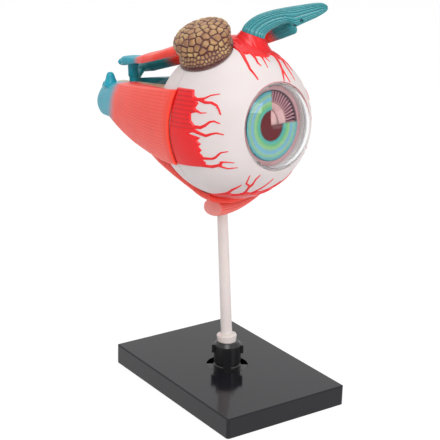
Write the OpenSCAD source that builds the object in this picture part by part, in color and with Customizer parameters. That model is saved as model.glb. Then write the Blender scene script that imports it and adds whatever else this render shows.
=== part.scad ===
// Take-apart eye anatomy model on a stand: a right eye, three times life size.
// Origin: centre of the plate's underside. The eye looks along -Y, +X is its nose side.
// The globe's own frame has its origin at the globe's centre, with the same directions.

/* [Stand] */
// Length of the base plate, front to back
plate_l = 100; // [90:1:140]
// Width of the base plate
plate_w = 69; // [60:1:100]
// Height of the base plate
plate_h = 10; // [8:0.5:14]
// Diameter of the socket that holds the rod
socket_d = 13.5; // [13:0.5:15]
// Height of the socket's rim above the plate
socket_rise = 12.8; // [10:0.2:16]
// Diameter of the rod at its foot
rod_d = 5.6; // [5:0.1:6.5]
// Angle that the rod leans back by
rod_lean = 6; // [0:0.5:8]

/* [Globe] */
// Outer diameter of the eyeball
globe_d = 73; // [73:0.5:76]
// Height of the globe's centre along the rod, from the rod's foot
globe_rise = 120.65; // [115:1:140]
// Distance of the rod behind the globe's centre
rod_behind = 10.95; // [8:0.05:12]
// Angle that the gaze is turned towards the nose
gaze_turn = 6; // [0:1:20]
// Wall of the white outer shell
wall = 2; // [2:0.1:2.2]
// Distance of the shell's seam behind the equator
seam_y = 3; // [3:0.1:3.5]

/* [Front of the eye] */
// Diameter of the clear dome at its rim
cornea_d = 40.3; // [39.5:0.1:40.5]
// Radius of the clear dome
cornea_r = 24.2; // [24:0.1:25]
// Outer diameter of the iris
iris_d = 32.4; // [31:0.2:33]
// Diameter of the pupil
pupil_d = 14.2; // [10:0.2:16]
// Folds round the ciliary body
fold_count = 48; // [24:4:60]

/* [Muscles] */
// Height of the side muscles at the globe
side_muscle_h = 35.6; // [33:0.2:36]
// Distance of the side muscles' rear ends behind the globe's centre
muscle_l = 94; // [92:1:96]
// Diameter of the optic nerve
nerve_d = 16.6; // [15:0.2:16.8]

/* [Hidden] */
$fn = 96;

big = 200;
fit_gap = 0.05;       // between a peg and its hole, all round
skin_gap = 0.3;       // between curved faces of pieces that come apart
face_gap = 0.01;      // between pieces that are glued face to face

// Stand
plate_edge = 0.6;
plate_corner = 1.5;
plate_wall = 2.5;
pocket_r = 10.4;      // round opening in the plate
pocket_floor = 3;
rod_foot_z = 14;      // where the rod's axis crosses the socket's axis
lug_side = -35.2;     // the lugs point this way, and the flange lies in front of them
plug_len = 8;
collar_top = 13.4;
rod_top_d = 5.2;
rod_plug_d = 9.4;

// Globe
R = globe_d / 2;
R_in = R - wall;
lip_r = R - 1.3;      // seam lip of the rear shell
lip_front = 0.4;
cornea_rim_y = -29.8;
cornea_y = cornea_rim_y + sqrt(cornea_r * cornea_r - cornea_d * cornea_d / 4);
collar_r = cornea_d / 2 + 0.2;
iris_y = -26.4;       // front face of the iris
iris_t = 1.4;
ciliary_r = 18.4;
ciliary_back = -18.8;
lens_y = -18;
lens_r = 9.6;
lens_bend = 13;
vitreous_r = R_in - 2.7;
vitreous_front = -17.2;
relief = 0.8;         // height of the red tendon ends above the shell
root_back = 6.9;      // the superior tendon's root thins forwards, on a circle centred here
root_r = R + 3.9;

// Muscles
nerve_z = 5.6;
nerve_end = 91;
belly_in = R + skin_gap;
side_out = R + 1.9;
band_out = R + 3.4;
peg_y = 9;
post_d = 6;
rod_top_z = -41.2;    // where the rod ends inside the lower oblique muscle
oblique_pull = 43;    // the upper oblique muscle comes off this way, from up towards the nose
oblique_peg_y = 84;

// Trochlea tendon: it stands on the crown in an upright plane
bar_foot = [6.2, -8.8];
bar_turn = -43;       // direction of that plane
seat_edge = [-5.7, 42.2];
seat_tilt = 21.3;     // slope of the joint between the bar and the red tendon
bar_ribs = 20;
bar_rib = 0.3;
// Its sections in that plane, from foot to tip: lower point, upper point and thickness. The lower edge
// has the notch that the front end of the upper oblique muscle lies beside.
bar_rings = [[[4.9, 38.1], [-5.7, 42.22], 8], [[5.1, 39.2], [-5.3, 43.6], 7.8],
    [[5.9, 40.4], [-3.9, 45.3], 7.5], [[7.1, 41.5], [-1.7, 47.1], 7.4], [[8.7, 42.6], [0.8, 48.6], 7.2],
    [[10.5, 43.5], [3.6, 49.7], 7], [[12.4, 44.4], [6.6, 50.5], 6.9], [[14.4, 45.2], [9.7, 51.2], 6.7],
    [[16.2, 45.8], [12.8, 51.7], 6.5], [[17.5, 44.8], [15.6, 52.1], 6.3], [[19.6, 43], [18.6, 52.5], 6.2],
    [[21.6, 43.6], [21.3, 52.8], 6], [[25, 44.6], [24.3, 53.2], 5.7], [[29.2, 45.9], [28.3, 53.5], 5.2],
    [[32.6, 47.4], [31.9, 53.3], 4.7], [[34.2, 48.6], [33.7, 52.6], 3.8], [[34.9, 49.8], [34.7, 51.6], 2.4]];

// Lacrimal gland
gland_cols = 36;
gland_foot = [-13.6, 3.4, 29.8];
gland_lean = [-3, -20, 0];
gland_turn = 62;      // direction of its longer side
gland_bump = 0.025;   // height of the cobbles, as a share of the radius
// Each ring of the lump: height, half length, half width. The brim ends at the waist, 5.6 mm up.
gland_rings = [[-1.5, 15, 12.6], [0.4, 15.2, 12.8], [2.4, 16, 13.4], [4.4, 15.2, 12.6], [5.6, 14.2, 12],
    [7.4, 14.4, 13.2], [9.8, 14.4, 13.8], [12.4, 13.4, 12.8], [14.4, 11, 10.2], [15.6, 7, 6.2], [16.1, 2, 2]];

// ---- Placing ----

// Puts the globe's own frame on the leaning rod
module on_rod() translate([0, 0, rod_foot_z]) rotate([-rod_lean, 0, 0]) children();
module in_globe() on_rod() rotate([0, 0, gaze_turn]) translate([0, -rod_behind, globe_rise]) children();
// Turns a shape made round Z so that it lies round the gaze axis
module about_gaze() rotate([-90, 0, 0]) children();
// Extrudes an outline drawn in (y, z) along +X, from the middle plane
module sideways() rotate([90, 0, 90]) linear_extrude(big) children();
module on_top() linear_extrude(big) children();
module below() mirror([0, 0, 1]) linear_extrude(big) children();
module other_side() mirror([1, 0, 0]) children();
// Turns a profile drawn in (radius, y) round the gaze axis
module turned() about_gaze() rotate_extrude() children();
// A disc's right half between two distances along the gaze axis
module half_disc(r, y0 = -big, y1 = big) intersection() {
    circle(r);
    translate([0, y0]) square([big, y1 - y0]);
}
module shell(r_out, r_in) turned() difference() {
    half_disc(r_out);
    circle(r_in);
}
// A ring round the gaze axis between two distances
module ring(r_out, r_in, y0, y1) translate([0, y0, 0]) about_gaze() difference() {
    cylinder(r = r_out, h = y1 - y0);
    translate([0, 0, -1]) cylinder(r = r_in, h = y1 - y0 + 2);
}

// ---- Stand ----

module plate_outline(l, w, r) {
    square([w - 2 * r, l], center = true);
    square([w, l - 2 * r], center = true);
    for (x = [-1, 1], y = [-1, 1]) translate([x * (w / 2 - r), y * (l / 2 - r)]) circle(r);
}

// Side view of the plate, with its top edges broken
module plate_side(l) polygon([[-l / 2, 0], [l / 2, 0], [l / 2, plate_h - plate_edge],
    [l / 2 - plate_edge, plate_h], [plate_edge - l / 2, plate_h], [-l / 2, plate_h - plate_edge]]);

module base_plate() color("#232226") {
    hollow_h = plate_h - plate_wall;
    difference() {
        intersection() {
            linear_extrude(plate_h) plate_outline(plate_l, plate_w, plate_corner);
            rotate([90, 0, 0]) linear_extrude(big, center = true) plate_side(plate_w);
            rotate([90, 0, 90]) linear_extrude(big, center = true) plate_side(plate_l);
        }
        difference() {
            translate([0, 0, -1]) linear_extrude(hollow_h + 1)
                plate_outline(plate_l - 2 * plate_wall, plate_w - 2 * plate_wall, plate_corner);
            translate([0, 0, -2]) cylinder(r = pocket_r + plate_wall, h = plate_h + 2);
            translate([-plate_w / 2, -0.8, -2]) cube([plate_w, 1.6, plate_h]);
            translate([-0.8, -plate_l / 2, -2]) cube([1.6, plate_l, plate_h]);
        }
        translate([0, 0, pocket_floor]) cylinder(r = pocket_r, h = plate_h);
    }
}

module stand_socket() color("#1f1f22") {
    rim = plate_h + socket_rise;
    r = socket_d / 2;
    difference() {
        union() {
            rotate_extrude() polygon([[0, pocket_floor], [r, pocket_floor], [r, plate_h + 0.4],
                [r - 0.4, plate_h + 0.9], [r - 0.4, plate_h + 1.5], [r, plate_h + 2], [r, rim - 1.6],
                [r - 1.35, rim], [0, rim]]);
            rotate([0, 0, lug_side]) {
                for (side = [0, 180]) rotate([0, 0, side]) translate([r - 1, -2.2, plate_h + 7])
                    cube([2.1, 4.4, 4.3]);
                intersection() {
                    translate([0, 0, pocket_floor]) cylinder(r = pocket_r - 0.1, h = plate_h - pocket_floor);
                    translate([-big, -2 * big, 0]) cube(2 * big);
                }
                translate([-2, -r - 0.35, plate_h]) cube([4, 3, socket_rise - 3]);
            }
        }
        on_rod() translate([0, 0, -plug_len]) cylinder(d = rod_plug_d + 2 * fit_gap, h = big);
    }
}

module stand_rod() color("#e9e2e0") on_rod() {
    top = globe_rise + rod_top_z;
    r = rod_plug_d / 2;
    translate([0, 0, -plug_len]) rotate_extrude() polygon(concat(
        [[0, 0], [r - 0.6, 0], [r, 0.6], [r, plug_len + 9.8], [r + 0.5, plug_len + 12]],
        [for (a = [0:15:90]) [r - 0.7 + 1.2 * cos(a), plug_len + collar_top - 1.2 + 1.2 * sin(a)]],
        [[rod_d / 2, plug_len + collar_top + 0.3], [rod_top_d / 2, plug_len + top - 8],
         [rod_top_d / 2, plug_len + top - 0.5], [rod_top_d / 2 - 0.5, plug_len + top],
         [0, plug_len + top]]));
}

// ---- Globe ----

// Holes in the rear shell for the pegs of the muscles, the nerve and the oblique muscle's post
module rear_holes() {
    for (side = [-1, 1]) translate([0, peg_y, 1]) rotate([0, side * 90, 0])
        cylinder(d = 4 + 2 * fit_gap, h = big);
    translate([3.5, peg_y, 0]) cylinder(d = 4 + 2 * fit_gap, h = big);
    translate([0, 5.5, -big]) cylinder(d = 2.6 + 2 * fit_gap, h = big);
    translate([0, rod_behind, -big]) cylinder(d = post_d + 2 * fit_gap, h = big);
    translate([0, 0, nerve_z]) about_gaze() cylinder(d = 9 + 2 * fit_gap, h = big);
}

module sclera_rear() color("#ece4e3") in_globe() difference() {
    turned() {
        difference() {
            half_disc(R, seam_y);
            circle(R_in);
        }
        translate([R_in - 0.1, lip_front]) square([lip_r - R_in + 0.1, seam_y + 1.5 - lip_front]);
    }
    rear_holes();
}

module sclera_front() color("#ece4e3") in_globe() turned() {
    depth = ciliary_back + 0.8 - cornea_rim_y - 1.6;
    difference() {
        half_disc(R, -big, seam_y - 0.02);
        circle(R_in);
        translate([0, lip_front - 0.1]) square([lip_r + 2 * fit_gap, 10]);
        translate([0, -R]) square([cornea_d / 2 + 0.05, R - 20]);
    }
    // collar behind the opening, with the ledge that the clear dome sits on
    translate([0, cornea_rim_y + 1.6]) polygon([[ciliary_r + 0.1, 0], [collar_r + 0.9, 0],
        [collar_r + 0.9, 1.8], [collar_r, 3], [collar_r, depth], [ciliary_r - 1, depth],
        [ciliary_r - 1, depth - 0.7], [ciliary_r + 0.1, depth - 0.7]]);
}

// One vessel: a ribbon along its points that narrows from w0 to w1
module vessel(points, w0, w1) {
    n = len(points) - 1;
    side = [for (i = [0:n]) let (d = points[min(i + 1, n)] - points[max(i - 1, 0)])
        [-d[1], d[0]] / norm(d) * (w0 + (w1 - w0) * i / n) / 2];
    tip = points[n] + [side[n][1], -side[n][0]];
    polygon(concat([for (i = [0:n]) points[i] + side[i]], [tip],
        [for (i = [n:-1:0]) points[i] - side[i]]));
}

// A raised tendon end: the shape below is the outline, pushed through a thin skin over the shell
module raised(height) intersection() {
    shell(R + height, R + face_gap);
    children();
}

// Front edge of a side muscle, drawn in (y, z), and moved forward by a gap
function side_front(gap) = [for (t = [0:0.2:1]) [-2.6 + 3.8 * sin(90 * min(1, t * 1.4)) - gap,
    side_muscle_h / 2 + 1.2 - side_muscle_h * t]];

side_fringe = [[-14, -16], [-14, -12], [-14, -8], [-14.5, -5], [-14, -2.2], [-8, -0.5], [-12.5, 3],
    [-10.5, 6], [-10, 8.5], [-13, 9.5], [-12.5, 13], [-7.5, 18.5]];

side_vessels = [
    [[-8, 15.8], [-14.5, 15], [-17, 16.5], [-20, 17]],
    [[-9, 14.4], [-15.5, 13.5], [-20, 12.5], [-22.5, 8.5]],
    [[-9, 10.4], [-17, 9]],
    [[-8, 3], [-15, 2.5], [-18.5, 4.5], [-20, 5.5], [-22.5, 4.5]],
    [[-7, 1.2], [-17, -1], [-21.5, 0], [-24, -0.5]],
    [[-13.5, -12], [-18, -12], [-19.5, -11.5], [-22, -9], [-24.5, -8.5]],
    [[-13.5, -15.3], [-16.5, -16], [-20, -15], [-21, -13.5], [-25, -14]],
    [[-20, -15], [-21, -17], [-25, -16.5]]];

module side_insertion() {
    raised(relief) sideways() {
        polygon(concat(side_front(skin_gap + 0.1), side_fringe));
        for (v = side_vessels) vessel(v, 1.3, 0.6);
    }
}

module lateral_insertion() color("#e33138") in_globe() other_side() side_insertion();
module medial_insertion() color("#e33138") in_globe() side_insertion();

superior_vessels = [
    [[-5, -11], [-7.5, -17], [-9.5, -22], [-9, -27]],
    [[-2.5, -18], [-3.5, -21.5], [-3.5, -23.5]],
    [[1, -19], [0.5, -21.5], [-0.5, -25]],
    [[3.5, -19], [3, -22]],
    [[10, -17], [9, -23], [7.5, -26], [6, -28], [4.5, -30.5]],
    [[7.5, -26], [8, -28], [8.5, -30]],
    [[15, -16], [13, -23.5], [13.5, -27.5]]];

module superior_outline() polygon([[-7.5, -0.1], [-6, -6], [-6, -12], [-5, -16], [-3, -16.5], [-2.5, -19],
    [1, -20], [4.5, -19.5], [8.5, -17.5], [10.5, -19.5], [15, -18], [17, -10], [16, -4], [15.5, -0.1]]);

// The upright plane of the trochlea tendon, with X along it, and the slanted seat of its foot
module bar_plane() translate(bar_foot) rotate([0, 0, bar_turn]) children();
module on_seat() bar_plane() translate([seat_edge[0], 0, seat_edge[1]]) rotate([0, seat_tilt, 0]) children();

// Swelling under the trochlea tendon
module tendon_foot(extra) hull() {
    on_seat() translate([5.7, 0, -0.6]) linear_extrude(0.6) ellipse(6.2 + extra, 4.3 + extra);
    bar_plane() translate([0.5, -1, R - 1.5]) linear_extrude(0.6) ellipse(10 + extra, 6.8 + extra);
}
module ellipse(a, b) scale([a, b]) circle(1, $fn = 32);

module superior_insertion() color("#e33138") in_globe() {
    raised(relief) on_top() {
        superior_outline();
        for (v = superior_vessels) vessel(v, 1.8, 0.7);
    }
    // the tendon thickens towards the muscle, and swells under the foot of the trochlea tendon
    intersection() {
        turned() difference() {
            translate([0, root_back]) half_disc(root_r);
            circle(R + relief / 2);
        }
        on_top() polygon([[-6.5, -0.1], [-3.5, -7], [1, -12], [8, -13], [14, -9], [15, -0.1]]);
    }
    difference() {
        tendon_foot(0);
        sphere(R + relief / 2);
    }
}

inferior_vessels = [
    [[-9, -14], [-9.8, -18], [-11, -22], [-14, -23], [-14.5, -26]],
    [[-10.7, -20.5], [-10.5, -24], [-10.5, -26.5], [-9.5, -28]],
    [[-15, -8], [-16, -16.5], [-15, -20.5]],
    [[-7, -14], [-3, -18], [1, -18.5], [4.5, -20.5], [7, -22]],
    [[-7, -14.5], [-4.5, -19.5], [-3, -23], [-1, -27]],
    [[8, -12], [12, -19], [14, -24]]];

module inferior_insertion() color("#e33138") in_globe() raised(relief) below() {
    polygon([[-16.4, 0], [-17, -8], [-15, -12], [-12, -12.5], [-9.5, -17], [-6, -17], [0, -15], [6, -17],
        [10, -15], [14, -10], [16.4, 0]]);
    for (v = inferior_vessels) vessel(v, 1.5, 0.6);
}

// A thin cup, open towards the front
module cup(r_out, t) turned() difference() {
    half_disc(r_out, seam_y);
    circle(r_out - t);
}

module choroid() color("#7c2a2e") in_globe() difference() {
    cup(R_in - 0.4, 1);
    translate([0, 0, nerve_z]) about_gaze() cylinder(d = 6, h = big);
}

module retina() color("#e2a08c") in_globe() cup(R_in - 1.6, 0.8);

// Half of the lens's profile, a little larger all round for its seat
module lens_profile(extra) intersection() {
    depth = sqrt(lens_bend * lens_bend - lens_r * lens_r);
    translate([0, lens_y + depth]) half_disc(lens_bend + extra);
    translate([0, lens_y - depth]) half_disc(lens_bend + extra);
}

module vitreous_body() color("#e8e3e6") in_globe() turned() difference() {
    half_disc(vitreous_r, vitreous_front);
    lens_profile(0.1);
}

module lens() color("#e9b3ac") in_globe() turned() lens_profile(0);

// Ring of radial folds with a cup at the front for the iris
module ciliary_body() color("#8b4456") in_globe() difference() {
    ring(ciliary_r, lens_r + 0.5, iris_y + 0.4, ciliary_back);
    ring(iris_d / 2 + 0.1, 1, -big, iris_y + iris_t);
    for (i = [0:fold_count - 1]) rotate([0, i * 360 / fold_count, 0])
        translate([lens_r - 1, -big - 22.6, -0.28]) cube([6.6, big, 0.56]);
}

module iris() color("#5fa9b4") in_globe() difference() {
    ring(iris_d / 2, pupil_d / 2, iris_y, iris_y + iris_t);
    translate([0.01, -40, 0.01]) cube(40);
    // steps between the coloured rings
    for (r = [9.2, 11.4, 13.8]) ring(r + 0.25, r - 0.25, iris_y - 1, iris_y + 0.3);
}

module cornea() color("#dfeaf0", 0.35) in_globe() turned() {
    difference() {
        translate([0, cornea_y]) half_disc(cornea_r, -big, cornea_rim_y - cornea_y);
        translate([0, cornea_y]) circle(cornea_r - 1.2);
        translate([0, cornea_rim_y - 1]) square([18.7, 10]);
    }
    translate([18.7, cornea_rim_y - 0.1]) square([cornea_d / 2 - 18.8, 1.68]);
}

module optic_nerve() color("#ead9b8") in_globe() {
    r = nerve_d / 2;
    difference() {
        translate([0, 0, nerve_z]) about_gaze() rotate_extrude() polygon(concat([[0, 33], [r, 33]],
            [for (a = [0:10:90]) [r - 2 + 2 * cos(a), nerve_end - 2 + 2 * sin(a)]], [[0, nerve_end]]));
        sphere(R + face_gap);
        muscle_sockets();
    }
    intersection() {
        translate([0, 0, nerve_z]) about_gaze() cylinder(d = 9, h = 40);
        difference() {
            sphere(R + 1);
            sphere(R_in - 0.1);
        }
    }
}

// ---- Muscles ----

// Blind holes in the nerve for the rear pegs of the muscles
module muscle_sockets() {
    for (side = [-1, 1]) translate([side * 4, 84, nerve_z - 1]) rotate([0, side * 90, 0])
        cylinder(d = 4 + 2 * fit_gap, h = big);
    translate([0, 77.5, 6]) cylinder(d = 6 + 2 * fit_gap, h = big);
    translate([0, 72, 1 - big]) cylinder(d = 4 + 2 * fit_gap, h = big);
    oblique_peg(3.9, 3 + 2 * fit_gap, big);
}

// Peg of the upper oblique muscle, along the way that the muscle comes off
module oblique_peg(start, d, h) translate([0, oblique_peg_y, nerve_z]) rotate([0, oblique_pull, 0])
    translate([0, 0, start]) cylinder(d = d, h = h);

function arc(r, a0, a1, n) = [for (i = [0:n]) let (a = a0 + (a1 - a0) * i / n) [r * cos(a), r * sin(a)]];
// Angle at which a line from a point touches a circle round the globe's centre
function touch(r, p) = atan2(p[1], p[0]) - acos(r / norm(p));
// Line from p to q, bowed sideways in its middle
function bowed(p, q, bow) = let (d = (q - p) / norm(q - p)) [for (i = [1:8])
    p + (q - p) * i / 8 + [d[1], -d[0]] * bow * sin(22.5 * i)];
// One side of a muscle's section: round the globe, then off to the rear
function muscle_side(r, tip, bow) = concat(arc(r, -8, touch(r, tip), 4),
    bowed(arc(r, touch(r, tip), 0, 1)[0], tip, bow));
function backwards(p) = [for (i = [len(p) - 1:-1:0]) p[i]];

// A muscle's wall, turned right round the gaze axis
module muscle_wall(r_out, tip_out, bow_out, r_in, tip_in, bow_in) about_gaze() rotate_extrude()
    polygon(concat(muscle_side(r_out, tip_out, bow_out), backwards(muscle_side(r_in, tip_in, bow_in))));

module side_muscle_outline() polygon(concat(
    [[93.4, 9.4], [90, 11.6], [84, 12.7], [76, 13.6], [40, 16.6], [10, 18.6]], side_front(0),
    [[17, -15.2], [30, -12.4], [45, -8.9], [60, -6], [75, -3.6], [82, -3.6], [88, -2.6], [92, 0.2],
    [94, 4]]));

module side_muscle() {
    intersection() {
        muscle_wall(side_out, [13.5, muscle_l + 1], 1.5, belly_in, [7, muscle_l + 1], -1.2);
        sideways() side_muscle_outline();
        translate([nerve_d / 2 + 0.5, -big, -big]) cube(2 * big);
    }
    translate([4.3, 84, nerve_z - 1]) rotate([0, 90, 0]) cylinder(d = 4, h = 5);
    intersection() {
        translate([R_in + 0.1, peg_y, 1]) rotate([0, 90, 0]) cylinder(d = 4, h = 4);
        sphere(side_out - 0.3);
    }
}

module lateral_rectus() color("#fa6455") in_globe() other_side() {
    side_muscle();
    translate([11.2, 82.4, 12.2]) cylinder(r1 = 3.6, r2 = 2.6, h = 6);
}

module medial_rectus() color("#fa6455") in_globe() side_muscle();

module superior_rectus() color("#fa6455") in_globe() {
    intersection() {
        muscle_wall(band_out, [24.6, 87], 0.8, belly_in, [19.4, 88], 0.6);
        on_top() polygon([[-7.8, skin_gap], [15.2, skin_gap], [14, 12], [12, 24], [9, 42], [5.5, 66],
            [4.8, 80], [3.4, 85], [0, 87], [-3.4, 85], [-4.8, 80], [-6, 66], [-9, 45], [-12, 26],
            [-11.5, 14]]);
    }
    // the rear end curls down
    translate([-3.4, 84.4, 21.4]) rotate([0, 90, 0]) cylinder(r = 2.3, h = 6.8);
    translate([0, 77.5, 6.3]) cylinder(d = 6, h = 16);
    translate([0, 77.5, 15]) cylinder(d = 7, h = 7);
    intersection() {
        translate([3.5, peg_y, R_in + 0.1]) translate([0, 0, -2]) cylinder(d = 4, h = 6);
        shell(R + 2, R_in + 0.1);
    }
}

module inferior_belly() intersection() {
    muscle_wall(band_out, [10.5, 80], 2, belly_in, [4.2, 80], 1);
    below() polygon([[-16.4, skin_gap], [16.4, skin_gap], [15.5, 12], [14, 30], [12.5, 45], [8, 64],
        [5, 76], [0, 79], [-5, 76], [-8, 64], [-12.5, 45], [-14, 30], [-15.5, 12]]);
    translate([-big, -big, -2 * big - 3.5]) cube(2 * big);
}

module inferior_rectus() color("#fa6455") in_globe() {
    difference() {
        inferior_belly();
        translate([0, rod_behind, -big]) cylinder(d = post_d + 0.5, h = big);
    }
    translate([0, 72, -8]) cylinder(d = 4, h = 8.7);
    intersection() {
        translate([0, 5.5, -R - 1]) cylinder(d = 2.6, h = 6);
        shell(R + 2, R_in + 0.1);
    }
}

// ---- Swept pieces ----

// A superellipse section, wide along [1, 0] and high along [0, 1], with grooves of a depth between ribs
function oval(w, h, n, groove = 0) = [for (i = [0:n - 1])
    let (c = cos(360 * i / n), s = sin(360 * i / n), g = groove * (i % 2))
    [(w / 2 - g) * sign(c) * pow(abs(c), 0.7), (h / 2 - g) * sign(s) * pow(abs(s), 0.7)]];
// Direction of a path at point i
function along(path, i) = let (a = path[max(i - 1, 0)], b = path[min(i + 1, len(path) - 1)])
    (b - a) / norm(b - a);

// Skins rings of equally many points, and closes both ends
module loft(rings) {
    n = len(rings[0]);
    last = len(rings) - 1;
    walls = [for (k = [0:last - 1]) for (i = [0:n - 1]) let (a = k * n + i, b = k * n + (i + 1) % n)
        each [[a, b + n, a + n], [a, b, b + n]]];
    caps = [[for (i = [n - 1:-1:0]) i], [for (i = [0:n - 1]) last * n + i]];
    polyhedron([for (ring = rings) each ring], concat(walls, caps), convexity = 4);
}

// Carries a section along a path; sizes are [width, height], up is the height's direction
module strap(path, sizes, up, n = 16) loft([for (k = [0:len(path) - 1])
    let (t = along(path, k), side = cross(t, up) / norm(cross(t, up)), top = cross(side, t))
    [for (p = oval(sizes[k][0], sizes[k][1], n)) path[k] + side * p[0] + top * p[1]]]);

// Points on a smooth curve through four guide points
function curve(a, b, c, d, n) = [for (i = [0:n]) let (t = i / n, u = 1 - t)
    a * u * u * u + b * 3 * u * u * t + c * 3 * u * t * t + d * t * t * t];

// The rear end is thin, and the front end is cut square
module superior_oblique() color("#fa6455") in_globe() {
    steps = 16;
    path = curve([11.4, 88.5, 17.2], [15, 61.5, 25], [18.3, 16, 30.6], [23.9, -16.2, 42.2], steps);
    sizes = [for (i = [0:steps]) let (t = i / steps, tip = min(1, 0.55 + 4 * t))
        [7.4 * tip, (5.5 - 2.1 * t) * tip]];
    strap(path, sizes, [0.68, 0.2, 0.7], 20);
    oblique_peg(4, 3, 14);
}

// A rib-edged section of the trochlea tendon between a lower and an upper point of its side view.
// It drifts off the plane as it runs forward.
function bar_section(low, high, thickness) =
    let (middle = (low + high) / 2, d = (high - low) / norm(high - low))
    [for (p = oval(norm(high - low), thickness, 2 * bar_ribs, bar_rib))
        [middle[0] + d[0] * p[0], p[1] + 0.4 * sqrt(max(0, middle[0])), middle[1] + d[1] * p[0]]];

module trochlea_tendon() color("#45a9ad") in_globe() bar_plane() difference() {
    loft([for (r = bar_rings) bar_section(r[0], r[1], r[2])]);
    // slot and hole at the front end of the upper oblique muscle
    translate([18.1, -5, 44]) rotate([0, 45, 0]) cube([2.4, 4.7, 0.8]);
    translate([22, 0.4, 45.8]) rotate([90, 0, 0]) cylinder(d = 1.5, h = 10);
}

module inferior_oblique() color("#f08c87") in_globe() {
    steps = 14;
    path = curve([-7, 9.5, -42.6], [2, 9.2, -44], [13, 6.5, -41.8], [21.5, 4, -35.3], steps);
    sizes = [for (i = [0:steps]) let (t = i / steps) [13.5 - 4.5 * t, 3.6 + 4 * pow(1 - t * t, 2)]];
    difference() {
        strap(path, sizes, [0, 0, 1], 24);
        sphere(R + 3.9);
        translate([0, 0, -0.4]) inferior_belly();
        translate([0, rod_behind, -big]) cylinder(d = rod_top_d + 2 * fit_gap, h = big + rod_top_z + 0.2);
    }
    intersection() {
        translate([0, rod_behind, rod_top_z + 1]) cylinder(d = post_d, h = 9);
        difference() {
            sphere(60);
            sphere(R_in - 0.2);
        }
    }
}

// The lump's rings lean over more the higher they are, and are cobbled by turns
module gland_lump() loft([for (i = [0:len(gland_rings) - 1]) let (ring = gland_rings[i])
    [for (j = [0:gland_cols - 1])
        let (a = -360 * j / gland_cols, k = 1 + gland_bump * ((i + floor(j / 2)) % 2),
            u = ring[1] * k * cos(a), v = ring[2] * k * sin(a))
        [u * cos(gland_turn) - v * sin(gland_turn) + 0.27 * ring[0] + 0.8,
         u * sin(gland_turn) + v * cos(gland_turn) + 0.23 * ring[0] - 0.9, ring[0]]]]);

module lacrimal_gland() color("#8f7056") in_globe() difference() {
    translate(gland_foot) rotate(gland_lean) gland_lump();
    sphere(R + skin_gap);
    // room for the superior muscle under the gland, and for the red tendon in front of it
    intersection() {
        about_gaze() rotate_extrude() polygon(concat([[0, -10]],
            muscle_side(band_out + skin_gap, [24.6 + skin_gap, 87], 0.8), [[0, 87]]));
        on_top() translate([-12.6, -0.2]) square(60);
    }
    intersection() {
        turned() translate([0, root_back]) half_disc(root_r + skin_gap);
        on_top() translate([-11, -20.2]) square([40, 21]);
    }
    tendon_foot(skin_gap);
}

base_plate();
stand_socket();
stand_rod();
sclera_rear();
sclera_front();
lateral_insertion();
superior_insertion();
inferior_insertion();
medial_insertion();
choroid();
retina();
vitreous_body();
lens();
ciliary_body();
iris();
cornea();
optic_nerve();
lateral_rectus();
medial_rectus();
superior_rectus();
inferior_rectus();
inferior_oblique();
superior_oblique();
trochlea_tendon();
lacrimal_gland();
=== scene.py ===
import math
from dataclasses import dataclass
from typing import Callable

import bmesh
import bpy
import numpy as np
from bpy.props import FloatProperty, FloatVectorProperty, IntProperty, PointerProperty
from mathutils import Matrix


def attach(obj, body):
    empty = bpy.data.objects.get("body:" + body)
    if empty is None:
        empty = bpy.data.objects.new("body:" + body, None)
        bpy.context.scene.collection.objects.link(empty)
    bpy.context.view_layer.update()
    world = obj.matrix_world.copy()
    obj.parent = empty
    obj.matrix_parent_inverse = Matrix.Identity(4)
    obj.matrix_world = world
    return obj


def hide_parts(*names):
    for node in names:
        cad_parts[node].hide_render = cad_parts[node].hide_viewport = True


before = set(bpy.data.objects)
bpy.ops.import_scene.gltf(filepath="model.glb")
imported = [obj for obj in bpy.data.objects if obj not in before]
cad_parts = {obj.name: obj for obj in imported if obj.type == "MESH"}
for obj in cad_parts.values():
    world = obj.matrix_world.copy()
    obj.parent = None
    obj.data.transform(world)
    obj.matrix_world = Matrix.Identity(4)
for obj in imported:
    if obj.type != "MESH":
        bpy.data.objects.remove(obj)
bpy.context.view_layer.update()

bl_info = {
    "name": "Eye Anatomy Model",
    "version": (1, 0, 0),
    "blender": (4, 5, 0),
    "location": "View3D > Sidebar > Eye Model",
    "description": "Surfaces and finishes of a take-apart eye model on a stand",
    "category": "Add Mesh",
}

MM = 0.001

# ---- The globe's own frame: origin at the globe's centre, gaze along -Y, nose side +X ----

ROD_LEAN = math.radians(6)
GAZE_TURN = math.radians(6)
ROD_FOOT = 14.0         # height of the rod's shoulder over the table
ROD_BEHIND = 10.95      # the rod's axis lies this far behind the globe's centre
GLOBE_RISE = 120.65     # from the rod's shoulder to the globe's centre, along the rod


def turned(axis, angle):
    """The matrix that turns by an angle round axis 0, 1 or 2. Its cosines and sines stand in the rows and
    columns of the other two axes, in cyclic order."""
    c, s = math.cos(angle), math.sin(angle)
    return np.roll([[1, 0, 0], [0, c, -s], [0, s, c]], (axis, axis), (0, 1))


X, Y, Z = np.eye(3)
LEAN = turned(0, -ROD_LEAN)
HEAD = LEAN @ turned(2, GAZE_TURN)
ROD_BASE = ROD_FOOT * Z
CENTRE = ROD_BASE + LEAN @ (GLOBE_RISE * Z) - HEAD @ (ROD_BEHIND * Y)
ROD_FRAME = (LEAN, ROD_BASE)
GLOBE_FRAME = (HEAD, CENTRE)

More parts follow.
